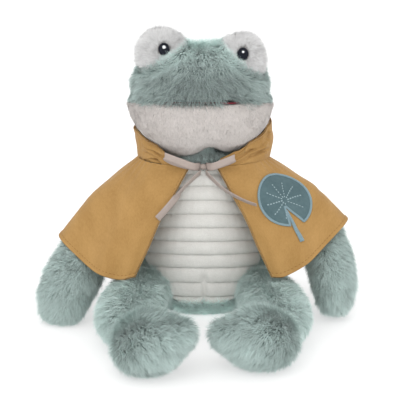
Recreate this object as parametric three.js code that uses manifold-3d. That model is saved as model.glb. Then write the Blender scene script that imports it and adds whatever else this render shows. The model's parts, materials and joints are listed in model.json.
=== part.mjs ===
// Plush frog in a hooded cape, sitting on a level surface with its legs stretched out in front.
// Millimetres, +Z up. The frog looks along -Y. Left and right are its own, so its left is +X.
import * as THREE from "three";
import { mergeVertices } from "three/addons/utils/BufferGeometryUtils.js";
import Module from "manifold-3d";

const wasm = await Module();
wasm.setup();

// Driving sizes of the stuffed forms
const torso_height = 157;
const torso_width = 126;
const torso_depth = 106;
const head_height = 106;
const head_width = 137;
const head_depth = 112;
const mound_width = 47;
const arm_width = 60;
const arm_thickness = 43;
const thigh_length = 96;
const thigh_width = 58;
const thigh_thickness = 50;
const foot_width = 57;

// Driving sizes of the cape and its ribbon
const cape_neck_width = 124;
const cape_neck_depth = 90;
const cape_spread = 276;
const cape_drop = 98;
const cloth_thickness = 2;
const ribbon_width = 7;
const ribbon_thickness = 1.4;

// Clearances
const seam_gap = 0.3;
const seat_clearance = 0.6;
const floor_press = 0.5;

// How finely the forms are faceted
const form_rings = 12;
const form_sides = 20;
const head_rings = 14;
const head_sides = 28;
const small_sides = 14;

const fur_colour = 0x8c9f9b;
const cream_colour = 0xd5cfc9;
const rib_colour = 0xd7d5cf;
const mustard_colour = 0xbd955a;
const leaf_colour = 0x637980;
const leaf_border_colour = 0x8ba5ae;
const ribbon_colour = 0xc6b3aa;
const navy_colour = 0x10141f;
const white_colour = 0xf2f2f0;
const mouth_colour = 0x6e1e2c;
const pellet_colour = 0xe6e2d8;

const cloth_roughness = 0.95;
const thread_roughness = 0.7;
const eye_roughness = 0.5;

const soft = (color, roughness = cloth_roughness) =>
  new THREE.MeshStandardMaterial({ color, roughness, metalness: 0 });

// A geometry with its shared vertices merged and its faces turned outwards, as a solid.
function solidOf(geometry) {
  const plain = geometry.clone();
  for (const name of Object.keys(plain.attributes)) if (name !== "position") plain.deleteAttribute(name);
  const merged = mergeVertices(plain, 1e-4);
  const corners = merged.index.array;
  const faces = [];
  for (let i = 0; i < corners.length; i += 3) {
    const [a, b, c] = [corners[i], corners[i + 1], corners[i + 2]];
    if (a !== b && b !== c && c !== a) faces.push([a, b, c]);
  }
  const place = merged.attributes.position;
  const at = (i) => new THREE.Vector3().fromBufferAttribute(place, i);
  const volume = faces.reduce((sum, [a, b, c]) => sum + at(a).dot(at(b).cross(at(c))), 0);
  const triVerts = new Uint32Array(faces.flatMap(([a, b, c]) => (volume < 0 ? [a, c, b] : [a, b, c])));
  return new wasm.Manifold(new wasm.Mesh({ numProp: 3, vertProperties: place.array, triVerts }));
}

function meshOf(name, solid, material) {
  const { numProp, vertProperties, triVerts } = solid.getMesh();
  const points = new Float32Array((vertProperties.length / numProp) * 3);
  for (let i = 0; i < points.length / 3; i++) {
    points.set(vertProperties.subarray(i * numProp, i * numProp + 3), i * 3);
  }
  const geometry = new THREE.BufferGeometry();
  geometry.setAttribute("position", new THREE.BufferAttribute(points, 3));
  geometry.setIndex(new THREE.BufferAttribute(new Uint32Array(triVerts), 1));
  geometry.computeVertexNormals();
  const mesh = new THREE.Mesh(geometry, material);
  mesh.name = name;
  return mesh;
}

// Joins rows of points into one closed body: each row is a closed ring, and each end closes on a point.
function loftOf(rings, start = middleOf(rings[0]), end = middleOf(rings.at(-1))) {
  const points = [...rings.flat(), start, end];
  const sides = rings[0].length;
  const first = rings.length * sides;
  const faces = [];
  for (let s = 0; s < sides; s++) {
    const next = (s + 1) % sides;
    faces.push(first, next, s);
    faces.push(first + 1, first - sides + s, first - sides + next);
    for (let r = 0; r + 1 < rings.length; r++) {
      const [a, b] = [r * sides + s, r * sides + next];
      faces.push(a, b, b + sides, a, b + sides, a + sides);
    }
  }
  return solidOf(geometryOf(points, faces));
}

// Closes two matching grids of points, a front and a back, into one thin body.
function sheetOf(front, back) {
  const [rows, columns] = [front.length, front[0].length];
  const points = [...front.flat(), ...back.flat()];
  const behind = rows * columns;
  const faces = [];
  const quad = (a, b, c, d) => faces.push(a, b, c, a, c, d);
  const at = (r, c) => r * columns + c;
  for (let r = 0; r + 1 < rows; r++) {
    for (let c = 0; c + 1 < columns; c++) {
      quad(at(r, c), at(r, c + 1), at(r + 1, c + 1), at(r + 1, c));
      quad(behind + at(r + 1, c), behind + at(r + 1, c + 1), behind + at(r, c + 1), behind + at(r, c));
    }
  }
  for (let r = 0; r + 1 < rows; r++) {
    quad(at(r, 0), at(r + 1, 0), behind + at(r + 1, 0), behind + at(r, 0));
    const [low, high] = [at(r, columns - 1), at(r + 1, columns - 1)];
    quad(high, low, behind + low, behind + high);
  }
  for (let c = 0; c + 1 < columns; c++) {
    quad(at(0, c + 1), at(0, c), behind + at(0, c), behind + at(0, c + 1));
    quad(at(rows - 1, c), at(rows - 1, c + 1), behind + at(rows - 1, c + 1), behind + at(rows - 1, c));
  }
  return solidOf(geometryOf(points, faces));
}

function geometryOf(points, faces) {
  const geometry = new THREE.BufferGeometry();
  geometry.setAttribute("position", new THREE.Float32BufferAttribute(points.flatMap((p) => p.toArray()), 3));
  geometry.setIndex(faces);
  return geometry;
}

function middleOf(ring) {
  return ring.reduce((sum, p) => sum.add(p), new THREE.Vector3()).divideScalar(ring.length);
}

const vector = (x, y, z) => new THREE.Vector3(x, y, z);

// Reads a list of shares, evenly spaced from 0 to 1, smoothly at t.
function shareAt(shares, t) {
  const place = Math.min(Math.max(t, 0), 1) * (shares.length - 1);
  const low = Math.min(Math.floor(place), shares.length - 2);
  const [p1, p2] = [shares[low], shares[low + 1]];
  const p0 = shares[Math.max(low - 1, 0)];
  const p3 = shares[Math.min(low + 2, shares.length - 1)];
  const f = place - low;
  const slope = p2 - p0;
  const bend = 2 * p0 - 5 * p1 + 4 * p2 - p3;
  const twist = 3 * (p1 - p2) + p3 - p0;
  return p1 + (f * (slope + f * (bend + f * twist))) / 2;
}

// The section of a stuffed form at t along its centre line: centre, two directions and two half sizes.
function sectionOf(form, t, roundness) {
  const curve = new THREE.CatmullRomCurve3(form.line, false, "catmullrom");
  const along = curve.getTangentAt(t);
  const across = form.side.clone().addScaledVector(along, -form.side.dot(along)).normalize();
  const through = along.clone().cross(across);
  const swell = Math.pow(roundness, form.bluntness ?? 1);
  return {
    centre: curve.getPointAt(t),
    along,
    across,
    through,
    halfWidth: (form.width / 2) * shareAt(form.width_shares, t) * swell,
    halfDepth: (form.depth / 2) * shareAt(form.depth_shares, t) * swell,
  };
}

// A stuffed form swells and tapers along its centre line, and ends in a round nose at both ends.
function stuffed(form, grow = 0, rings = form_rings, sides = form_sides) {
  const loops = [];
  for (let r = 1; r < rings; r++) {
    const turn = (Math.PI * r) / rings;
    const part = sectionOf(form, (1 - Math.cos(turn)) / 2, Math.sin(turn));
    const centre = part.centre.addScaledVector(part.along, -grow * Math.cos(turn));
    loops.push(
      Array.from({ length: sides }, (_, s) => {
        const angle = (2 * Math.PI * s) / sides;
        return centre
          .clone()
          .addScaledVector(part.across, (part.halfWidth + grow) * Math.cos(angle))
          .addScaledVector(part.through, (part.halfDepth + grow) * Math.sin(angle));
      }),
    );
  }
  const [first, last] = [sectionOf(form, 0, 1), sectionOf(form, 1, 1)];
  return loftOf(
    loops,
    first.centre.addScaledVector(first.along, -grow),
    last.centre.addScaledVector(last.along, grow),
  );
}

function ball(centre, radius, sides = form_sides) {
  return solidOf(new THREE.SphereGeometry(radius, sides, sides / 2).translate(centre.x, centre.y, centre.z));
}

// An egg with its half sizes along X, Y and Z.
function egg(centre, x, y, z, sides = form_sides) {
  const unit = new THREE.SphereGeometry(1, sides, sides / 2).rotateX(Math.PI / 2);
  return solidOf(unit.scale(x, y, z).translate(centre.x, centre.y, centre.z));
}

// The level surface, as a block that trims whatever is pressed flat on it.
const floor_block = solidOf(
  new THREE.BoxGeometry(4 * cape_spread, 4 * cape_spread, torso_height).translate(0, 0, -torso_height / 2),
);

const root = new THREE.Group();

// Torso: one stuffed bag of green plush. It stands on a flat seat, and its neck is a ball under the head.
const torso_sink = 14;
const torso_back = 1;
const neck_radius = 27;
const neck_drop = 11;
const neck_set_back = 2;
const torso_form = {
  line: [0, 0.5, 1].map((share) =>
    vector(0, torso_back, share * (torso_height + torso_sink) - torso_sink),
  ),
  side: vector(1, 0, 0),
  width: torso_width,
  depth: torso_depth,
  width_shares: [1, 1.03, 1.01, 0.96, 0.9, 0.86, 0.88],
  depth_shares: [1.04, 1.03, 1.02, 0.99, 0.93, 0.89, 0.92],
  bluntness: 0.38,
};
const neck_pivot = vector(0, -neck_set_back, torso_height - neck_drop);

// Seat panel and the bag of pellets that lies on it inside the torso
const seat_panel_thickness = 3;
const seat_panel_width = 66;
const seat_panel_depth = 56;
const pellet_bag_height = 16;
const pellet_bag_share = 0.86;

function seatPanel(grow) {
  const outline = new THREE.Shape();
  outline.absellipse(0, 0, seat_panel_width / 2 + grow, seat_panel_depth / 2 + grow, 0, 2 * Math.PI);
  const depth = seat_panel_thickness + 2 * grow;
  const plate = new THREE.ExtrudeGeometry(outline, { depth, bevelEnabled: false, curveSegments: form_sides });
  return solidOf(plate.translate(0, torso_back, -grow));
}

function pelletBag(grow) {
  const rise = seat_panel_thickness + seam_gap + pellet_bag_height / 2;
  const bag = egg(
    vector(0, torso_back, rise),
    (pellet_bag_share * seat_panel_width) / 2 + grow,
    (pellet_bag_share * seat_panel_depth) / 2 + grow,
    pellet_bag_height / 2 + grow,
  );
  return bag;
}

// Hips: the legs lie forwards and turn on upright axes through their ball-shaped tops.
const hip_spread = 92;
const hip_radius = 25.5;
const hip_forward = 25;
const hip_rise = hip_radius - floor_press;

// Shoulders: the arms swing on an axis that runs from shoulder to shoulder.
const shoulder_spread = 118;
const shoulder_radius = 19.6;
const shoulder_drop = 30;
const shoulder_forward = 1;

const hipAt = (side) => vector((side * hip_spread) / 2, -hip_forward, hip_rise);
const shoulderAt = (side) => vector((side * shoulder_spread) / 2, -shoulder_forward, torso_height - shoulder_drop);

function sockets(grow) {
  return [-1, 1]
    .flatMap((side) => [ball(hipAt(side), hip_radius + grow), ball(shoulderAt(side), shoulder_radius + grow)])
    .reduce((all, one) => all.add(one));
}

const torso = stuffed(torso_form)
  .add(ball(neck_pivot, neck_radius))
  .subtract(floor_block)
  .subtract(seatPanel(seam_gap))
  .subtract(pelletBag(seam_gap))
  .subtract(sockets(seat_clearance));
root.add(meshOf("torso", torso, soft(fur_colour)));
root.add(meshOf("seat_panel", seatPanel(0), soft(fur_colour)));
root.add(meshOf("pellet_bag", pelletBag(0), soft(pellet_colour)));

// Belly panel: wide-ribbed plush sewn on the front of the torso. Each rib is a crest between two grooves.
const rib_pitch = 13.1;
const rib_crest = 5.2;
const rib_groove = 2.8;
const belly_bottom = 12.5;
const first_groove = 19.6;
const rib_count = Math.floor((torso_height - first_groove) / rib_pitch) + 1;
const belly_width = 108;
const belly_columns = 10;
const belly_rim_share = 0.5;
const belly_rim_power = 6;
const belly_width_shares = [0.34, 0.6, 0.8, 0.95, 1, 0.97, 0.91, 0.83, 0.73, 0.62, 0.5, 0.42];

function torsoSkin(level, reach, grow) {
  const t = (level + torso_sink) / (torso_height + torso_sink);
  const part = sectionOf(torso_form, t, 2 * Math.sqrt(Math.max(t * (1 - t), 0)));
  const angle = Math.asin(Math.min(reach / part.halfWidth, 1));
  return (share) =>
    vector(
      (part.halfWidth + grow) * Math.sin(angle * share),
      part.centre.y - (part.halfDepth + grow) * Math.cos(angle * share),
      level,
    );
}

const grooveLevel = (count) => first_groove + count * rib_pitch;

function bellyPanel() {
  const [front, back] = [[], []];
  for (let half = 0; half <= 2 * rib_count; half++) {
    const lead = belly_bottom + (half * (first_groove - belly_bottom)) / 2;
    const level = half < 2 ? lead : grooveLevel(half / 2 - 1);
    const reach = (belly_width / 2) * shareAt(belly_width_shares, half / (2 * rib_count));
    const thick = half % 2 ? rib_crest : rib_groove;
    const shares = Array.from({ length: belly_columns + 1 }, (_, c) => (2 * c) / belly_columns - 1);
    const rim = (share) => thick * (1 - belly_rim_share * Math.pow(Math.abs(share), belly_rim_power));
    front.push(shares.map((share) => torsoSkin(level, reach, rim(share))(share)));
    back.push(shares.map((share) => torsoSkin(level, reach, -rib_groove / 2)(share)));
  }
  return sheetOf(front, back)
    .subtract(stuffed(torso_form, seam_gap))
    .subtract(sockets(2 * seat_clearance));
}
root.add(meshOf("belly_panel", bellyPanel(), soft(rib_colour)));

// Legs: a stuffed thigh that lies forwards from the hip, and a foot turned inwards at its end.
// The thigh's shares run from the hip to the knee: out, and forward along its length.
const knee_spread = 142;
const thigh_out_shares = [0, 0.75, 1, 0.94];
const thigh_forward_shares = [-0.16, 0.5, 1.02, 1.39];
const thigh_width_shares = [0.84, 0.86, 0.93, 1, 1.03, 1];
const thigh_depth_shares = [0.98, 0.98, 1, 1.01, 1, 0.96];
const thigh_bluntness = 0.62;
const heel_level = 26;
const foot_middle_share = 0.42;
const foot_width_shares = [0.94, 1, 1.01, 0.9, 0.66, 0.56];
const foot_depth_shares = [0.92, 0.98, 1, 0.88, 0.64, 0.54];
const foot_bluntness = 0.66;
const foot_fit = {
  left: { heel_past_knee: 12, toe_out: 4, toe_level: 34, foot_past_knee: 17.6, toe_ahead_share: 0.018 },
  right: { heel_past_knee: 8, toe_out: 6, toe_level: 41, foot_past_knee: 22.6, toe_ahead_share: 0.035 },
};

function thighForm(side) {
  const hip = hipAt(side);
  const knee = (side * knee_spread) / 2;
  return {
    line: thigh_out_shares.map((out, i) =>
      vector(hip.x + out * (knee - hip.x), hip.y - thigh_forward_shares[i] * thigh_length, hip.z),
    ),
    side: vector(1, 0, 0),
    width: thigh_width,
    depth: thigh_thickness,
    width_shares: thigh_width_shares,
    depth_shares: thigh_depth_shares,
    bluntness: thigh_bluntness,
  };
}

function footForm(side, { heel_past_knee, toe_out, toe_level, foot_past_knee, toe_ahead_share }) {
  const heel_out = knee_spread / 2 + heel_past_knee;
  const forward = hip_forward + thigh_forward_shares.at(-1) * thigh_length + foot_past_knee;
  const toe_ahead = toe_ahead_share * foot_width;
  const middle_out = heel_out + foot_middle_share * (toe_out - heel_out);
  return {
    line: [
      vector(side * heel_out, toe_ahead - forward, heel_level),
      vector(side * middle_out, -forward, foot_width / 2 - floor_press),
      vector(side * toe_out, -forward - toe_ahead, toe_level),
    ],
    side: vector(0, 0, 1),
    width: foot_width,
    depth: foot_width,
    width_shares: foot_width_shares,
    depth_shares: foot_depth_shares,
    bluntness: foot_bluntness,
  };
}

for (const [name, side] of [["left", 1], ["right", -1]]) {
  const thigh = (grow) => stuffed(thighForm(side), grow).add(ball(hipAt(side), hip_radius + grow));
  const torso_cut = stuffed(torso_form, seam_gap).subtract(ball(hipAt(side), hip_radius + seam_gap));
  root.add(meshOf("thigh_" + name, thigh(0).subtract(floor_block).subtract(torso_cut), soft(fur_colour)));
  const foot = stuffed(footForm(side, foot_fit[name])).subtract(thigh(seam_gap)).subtract(floor_block);
  root.add(meshOf("foot_" + name, foot, soft(fur_colour)));
}

// Arms: each hangs from its shoulder under the cape, and its mitten hand rests beside the thigh.
// The shares run from the shoulder to the hand: out to the hand, forward to the hand, and down to the floor.
const arm_out_shares = { left: [0, 0.52, 0.82, 0.975, 1], right: [0, 0.42, 0.685, 0.92, 1] };
const arm_down_shares = { left: [0, 0.145, 0.4, 0.71, 1], right: [0, 0.19, 0.505, 0.765, 1] };
const arm_forward_shares = [0, 0.14, 0.42, 0.82, 1];
const arm_width_shares = [0.56, 0.58, 0.64, 0.76, 0.93, 1.03, 1.06];
const arm_depth_shares = [0.74, 0.78, 0.82, 0.92, 1.02, 1.08, 1.06];
const arm_bluntness = 0.56;
const arm_root_in_share = 0.2;
const arm_root_up_share = 0.5;
const arm_fit = {
  left: { hand_out: 129, hand_forward: 55, broad_side_shares: [0.3, 1, 0] },
  right: { hand_out: 139, hand_forward: 71, broad_side_shares: [1, -0.3, 0] },
};

function armForm(side, name) {
  const { hand_out, hand_forward, broad_side_shares } = arm_fit[name];
  const shoulder = shoulderAt(side);
  const root_shift = vector(-side * arm_root_in_share, 0, arm_root_up_share);
  const line = arm_down_shares[name].map((down, i) =>
    vector(
      side * (shoulder_spread / 2 + arm_out_shares[name][i] * (hand_out - shoulder_spread / 2)),
      -shoulder_forward - arm_forward_shares[i] * (hand_forward - shoulder_forward),
      shoulder.z - down * (shoulder.z + floor_press),
    ).addScaledVector(root_shift, i === 0 ? shoulder_radius : 0),
  );
  return {
    line,
    side: vector(...broad_side_shares),
    width: arm_width,
    depth: arm_thickness,
    width_shares: arm_width_shares,
    depth_shares: arm_depth_shares,
    bluntness: arm_bluntness,
  };
}

for (const [name, side] of [["left", 1], ["right", -1]]) {
  const arm = stuffed(armForm(side, name)).add(ball(shoulderAt(side), shoulder_radius));
  root.add(meshOf("arm_" + name, arm.subtract(floor_block), soft(fur_colour)));
}

// Head: everything on it is placed from the neck pivot, and it tilts a little to its left.
const head_tilt = THREE.MathUtils.degToRad(3.4);
const head_lift = 14;
const head_shift = 6.5;
const head_forward = 4;
const head = new THREE.Group();
head.position.copy(neck_pivot);
head.rotation.y = head_tilt;
root.add(head);

const head_form = {
  line: [0, 0.5, 1].map((share) => vector(-head_shift, -head_forward, head_lift + share * head_height)),
  side: vector(1, 0, 0),
  width: head_width,
  depth: head_depth,
  width_shares: [0.98, 1, 1.01, 1, 0.98, 0.93, 0.86],
  depth_shares: [0.94, 0.98, 1.01, 1.02, 0.98, 0.92, 0.86],
  bluntness: 0.56,
};

// The smile runs round the front of the head, and the muzzle is all that lies below it as far as the cheeks.
const mouth_level = 58.5;
const mouth_slope = 0.153;
const cheek_back = 16;
const lining_thickness = 1.4;
const lining_width = 72;
const lining_depth = 15;

// The head leans to its left, but its smile lies level.
function levelled(geometry) {
  return solidOf(
    geometry.translate(head_shift, 0, -mouth_level).rotateY(-head_tilt).translate(-head_shift, 0, mouth_level),
  );
}

// A wedge across the whole head below the smile, from before the nose to behind the cheeks.
function belowSmile(grow) {
  const ahead = -head_depth;
  const behind = cheek_back + grow;
  const outline = new THREE.Shape([
    new THREE.Vector2(ahead, mouth_level - mouth_slope * ahead + grow),
    new THREE.Vector2(behind, mouth_level - mouth_slope * behind + grow),
    new THREE.Vector2(behind, -head_height),
    new THREE.Vector2(ahead, -head_height),
  ]);
  const wedge = new THREE.ExtrudeGeometry(outline, { depth: 2 * head_width, bevelEnabled: false });
  const turned = new THREE.Matrix4().makeBasis(vector(0, 1, 0), vector(0, 0, 1), vector(1, 0, 0));
  return levelled(wedge.applyMatrix4(turned).translate(-head_width, 0, 0));
}

function mouthLining(grow) {
  const front = -head_forward - head_depth / 2;
  const slab = new THREE.BoxGeometry(
    lining_width + 2 * grow,
    2 * lining_depth + 2 * grow,
    lining_thickness + 2 * grow,
  );
  slab.rotateX(-Math.atan(mouth_slope));
  return levelled(slab.translate(-head_shift, front, mouth_level - mouth_slope * front));
}

const headForm = (grow) => stuffed(head_form, grow, head_rings, head_sides);
const neck_socket = ball(vector(0, 0, 0), neck_radius + seat_clearance);
const head_solid = headForm(0).subtract(neck_socket);
const crown = head_solid.subtract(belowSmile(seam_gap)).subtract(mouthLining(seam_gap));
const muzzle = head_solid.intersect(belowSmile(0)).subtract(mouthLining(seam_gap));
head.add(meshOf("head_crown", crown, soft(fur_colour)));
head.add(meshOf("muzzle", muzzle, soft(cream_colour)));
head.add(meshOf("mouth_lining", mouthLining(0).intersect(headForm(0)), soft(mouth_colour)));

// Eyes: a cream mound sewn on each side of the crown, an embroidered pupil on it and a glint on the pupil.
const mound_spacing = 78;
const mound_level = 106.5;
const mound_forward = 18;
const mound_height_share = 0.95;
const mound_depth_share = 0.86;
const pupil_width = 11;
const pupil_height = 12.6;
const pupil_relief = 3.2;
const pupil_sink_share = 0.25;
const pupil_inset = 2.2;
const pupil_rise = 6;
const glint_relief = 1;
const glint_out_share = 0.92;
const glint_rise = 2.2;
const glint_size = { left: 3.2, right: 4.2 };

for (const [name, side] of [["left", 1], ["right", -1]]) {
  const centre = vector((side * mound_spacing) / 2 - head_shift, -mound_forward, mound_level);
  const mound = (grow) =>
    egg(
      centre,
      mound_width / 2 + grow,
      (mound_depth_share * mound_width) / 2 + grow,
      (mound_height_share * mound_width) / 2 + grow,
    );
  const face = centre.y - (mound_depth_share * mound_width) / 2;
  const pupil_front = face + pupil_sink_share * pupil_relief;
  const pupil_at = vector(centre.x - side * pupil_inset, pupil_front, centre.z + pupil_rise);
  const pupil = (grow) =>
    egg(pupil_at, pupil_width / 2 + grow, pupil_relief + grow, pupil_height / 2 + grow, small_sides);
  const glint_at = vector(pupil_at.x, pupil_at.y - glint_out_share * pupil_relief, pupil_at.z + glint_rise);
  const glint = egg(glint_at, glint_size[name] / 2, glint_relief, glint_size[name] / 2, small_sides);
  head.add(
    meshOf("eye_mound_" + name, mound(0).subtract(headForm(seam_gap)), soft(cream_colour)),
    meshOf("eye_" + name, pupil(0).subtract(mound(seam_gap)), soft(navy_colour, eye_roughness)),
    meshOf("eye_glint_" + name, glint.subtract(pupil(seam_gap)), soft(white_colour, eye_roughness)),
  );
}

// Cape: two halves of mustard cotton, sewn up the middle of the back, open in front and tied at the neck.
// Each row of shares runs from the front edge round the side to the back seam: how far round the neck,
// and how far the hem lies out, forward and down.
const cape_columns = 20;
const cape_rows = 8;
const cape_neck_drop = 7.5;
const cape_neck_level = torso_height - cape_neck_drop;
const cape_bulge = 5;
const cape_fold = 2.2;
const cape_fold_count = 5;
const cape_neck_turn_shares = [0.064, 0.189, 0.31, 0.43, 0.55, 0.69, 0.845, 1];
const cape_hem_out_shares = [0.46, 0.56, 0.73, 0.97, 1, 0.86, 0.52, 0];
const cape_hem_forward_shares = [0.9, 0.92, 0.8, 0.44, 0.06, -0.38, -0.68, -0.76];
const cape_hem_drop_shares = [0.98, 1, 0.97, 0.78, 0.74, 0.82, 0.9, 0.92];
const cape_reach = 98;
const cape_side_lift = { left: 17, right: 0 };
const cape_side_peak = 1.1;
const cape_centre_share = 0.17;
const cape_outward_rise = 0.75;
const cape_edge_bulge_share = 0.4;

function capePoint(side, lift, across, down, grow) {
  const round = Math.PI * shareAt(cape_neck_turn_shares, across);
  const neck = vector(
    (side * cape_neck_width * Math.sin(round)) / 2,
    -neck_set_back - (cape_neck_depth * Math.cos(round)) / 2,
    cape_neck_level,
  );
  const raised = lift * Math.pow(Math.sin(Math.PI * Math.min(across * cape_side_peak, 1)), 2);
  const hem = vector(
    (side * cape_spread * shareAt(cape_hem_out_shares, across)) / 2,
    -cape_reach * shareAt(cape_hem_forward_shares, across),
    cape_neck_level - cape_drop * shareAt(cape_hem_drop_shares, across) + raised,
  );
  const outward = vector(hem.x, hem.y + cape_centre_share * cape_reach, 0).normalize();
  outward.z = cape_outward_rise;
  outward.normalize();
  const fullness = Math.sin(Math.PI * across);
  const bulge = cape_bulge * (cape_edge_bulge_share + (1 - cape_edge_bulge_share) * fullness);
  const swell = bulge * Math.sin(Math.PI * down);
  const fold = cape_fold * down * fullness * Math.sin(2 * Math.PI * cape_fold_count * across);
  return neck.lerp(hem, down).addScaledVector(outward, swell + fold + grow);
}

function capeHalf(side, lift) {
  const grid = (grow) =>
    Array.from({ length: cape_rows + 1 }, (_, r) =>
      Array.from({ length: cape_columns + 1 }, (_, c) => {
        const point = capePoint(side, lift, c / cape_columns, r / cape_rows, grow);
        point.x = side * Math.max(side * point.x, seam_gap / 2);
        return point;
      }),
    );
  return sheetOf(grid(cloth_thickness), grid(0));
}
root.add(meshOf("cape_left", capeHalf(1, cape_side_lift.left), soft(mustard_colour)));
root.add(meshOf("cape_right", capeHalf(-1, cape_side_lift.right), soft(mustard_colour)));

// Hood: sewn to the neck of the cape and folded down, a deep pouch behind the head that thins to the front.
const hood_sections = 30;
const hood_front_angle = THREE.MathUtils.degToRad(26);
const hood_height = 33;
const hood_lean_share = 0.12;
const hood_flare = 8;
const hood_pouch = 17;
const hood_droop = 9;
const hood_height_shares = [0.2, 0.48, 0.86, 1, 1, 0.98];
const hood_flare_shares = [0.1, 0.4, 0.9, 1, 1.3, 1.5];
const hood_thickness_shares = [0.16, 0.18, 0.22, 0.4, 0.86, 1];
const hood_seat_share = 0.75;

// The hood's outline at one place round the neck: shares of its flare, thickness, height and droop.
const hood_outline_shares = [
  [0, 0, 0, 0],
  [0.45, 0, 0.5, 0],
  [1, 0, 0.96, 0],
  [1, 0.45, 1, 0],
  [1, 1, 0.86, 0],
  [0.85, 1.15, 0.4, 0.4],
  [0.3, 1.1, 0.04, 1],
  [0, 0.5, 0.02, 0],
];

function hoodSection(turn) {
  const back = Math.abs(Math.PI - turn) / (Math.PI - hood_front_angle);
  const read = (shares) => shareAt(shares, 1 - back);
  const height = hood_height * read(hood_height_shares) * (1 - hood_lean_share * Math.sin(turn));
  const flare = hood_flare * read(hood_flare_shares);
  const thick = hood_pouch * read(hood_thickness_shares);
  const droop = hood_droop * Math.pow(1 - back, 2);
  const base = cape_neck_level + hood_seat_share * cloth_thickness + seam_gap;
  return hood_outline_shares.map(([of_flare, of_thick, of_height, of_droop]) => {
    const out = of_flare * flare + of_thick * thick;
    return vector(
      -Math.sin(turn) * (cape_neck_width / 2 + out),
      -neck_set_back - Math.cos(turn) * (cape_neck_depth / 2 + out),
      base + of_height * height - of_droop * droop,
    );
  });
}

function hood() {
  const sweep = 2 * (Math.PI - hood_front_angle);
  const rings = Array.from({ length: hood_sections + 1 }, (_, i) =>
    hoodSection(hood_front_angle + (sweep * i) / hood_sections),
  );
  return loftOf(rings);
}
root.add(meshOf("hood", hood(), soft(mustard_colour)));

// Leaf: a round lily pad with a notch, appliqued on the left half of the cape, with a satin edge and a stem.
const leaf_width = 52;
const leaf_height = 54;
const leaf_thickness = 1;
const leaf_border_width = 2;
const leaf_border_relief = 1.6;
const leaf_notch = THREE.MathUtils.degToRad(18);
const leaf_turn = THREE.MathUtils.degToRad(3.5);
const notch_tip = [-4.4, -6.3];
const leaf_spokes = 26;
const leaf_across_share = 0.301;
const leaf_down_share = 0.418;
const leaf_rings = 5;
const leaf_clearance = 2 * seam_gap;
const thread_edge_share = 0.6;
const stem_length = 39;
const stem_width = 5;
const stem_steps = 6;
const stem_start_share = 0.2;
const stem_turn = THREE.MathUtils.degToRad(4.5);
const stem_tip_share = 0.45;
const stem_top_share = 0.8;

// The cape's surface round the middle of the leaf, as a flat map of it: out along it and up along it.
const onLeft = (across, down, grow) =>
  capePoint(1, cape_side_lift.left, across, down, cloth_thickness + grow);
const map_step_share = 0.01;
const map_rounds = 6;

function leafMap() {
  const home = onLeft(leaf_across_share, leaf_down_share, 0);
  const slopes = (across, down) => [
    onLeft(across + map_step_share, down, 0).sub(onLeft(across - map_step_share, down, 0)),
    onLeft(across, down + map_step_share, 0).sub(onLeft(across, down - map_step_share, 0)),
  ];
  const [by_across, by_down] = slopes(leaf_across_share, leaf_down_share);
  const outward = by_across.clone().cross(by_down).normalize();
  outward.multiplyScalar(-Math.sign(outward.y));
  const up = vector(0, 0, 1).addScaledVector(outward, -outward.z).normalize();
  const out = outward.clone().cross(up).negate();
  return (x, y, grow) => {
    let [across, down] = [leaf_across_share, leaf_down_share];
    for (let round = 0; round < map_rounds; round++) {
      const miss = onLeft(across, down, 0).sub(home);
      const [dx, dy] = [x - miss.dot(out), y - miss.dot(up)];
      const [a, d] = slopes(across, down);
      const det = a.dot(out) * d.dot(up) - a.dot(up) * d.dot(out);
      across += (2 * map_step_share * (dx * d.dot(up) - dy * d.dot(out))) / det;
      down += (2 * map_step_share * (dy * a.dot(out) - dx * a.dot(up))) / det;
    }
    return onLeft(across, down, grow);
  };
}
const onCape = leafMap();

// The pad's outline in its own plane, from one side of the notch round to the other.
function leafOutline(share, grow) {
  const turn = leaf_notch + share * 2 * (Math.PI - leaf_notch) - Math.PI / 2 + leaf_turn;
  return [
    (leaf_width / 2 + grow) * Math.cos(turn),
    (leaf_height / 2 + grow) * Math.sin(turn),
  ];
}

function leafSheet(bottom, top) {
  const grid = (grow) =>
    Array.from({ length: leaf_rings + 1 }, (_, r) =>
      Array.from({ length: leaf_spokes + 1 }, (_, s) => {
        const [x, y] = leafOutline(s / leaf_spokes, 0).map(
          (edge, i) => notch_tip[i] + ((edge - notch_tip[i]) * r) / leaf_rings,
        );
        return onCape(x, y, grow);
      }),
    );
  return sheetOf(grid(top), grid(bottom));
}
root.add(meshOf("leaf_patch", leafSheet(leaf_clearance, leaf_clearance + leaf_thickness), soft(leaf_colour)));

function leafBorder() {
  const low = leaf_clearance;
  const rings = Array.from({ length: leaf_spokes + 1 }, (_, s) => {
    const [near, far] = [seam_gap, leaf_border_width].map((grow) => leafOutline(s / leaf_spokes, grow));
    return [
      onCape(...near, low),
      onCape(...far, low),
      onCape(...far, low + thread_edge_share * leaf_border_relief),
      onCape(...near, low + leaf_border_relief),
    ];
  });
  return loftOf(rings);
}
root.add(meshOf("leaf_border", leafBorder(), soft(leaf_border_colour, thread_roughness)));

function leafStem() {
  const rings = Array.from({ length: stem_steps + 1 }, (_, i) => {
    const t = i / stem_steps;
    const reach = stem_length * (stem_start_share + (1 - stem_start_share) * t);
    const [x, y] = [notch_tip[0] + reach * Math.sin(stem_turn), notch_tip[1] - reach * Math.cos(stem_turn)];
    const half = (stem_width / 2) * (stem_tip_share + (1 - stem_tip_share) * t);
    const [low, high] = [leaf_clearance, leaf_clearance + leaf_border_relief];
    return [
      onCape(x - half, y, low),
      onCape(x + half, y, low),
      onCape(x + stem_top_share * half, y, high),
      onCape(x - stem_top_share * half, y, high),
    ];
  });
  return loftOf(rings);
}
root.add(meshOf("leaf_stem", leafStem(), soft(leaf_border_colour, thread_roughness)));

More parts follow.
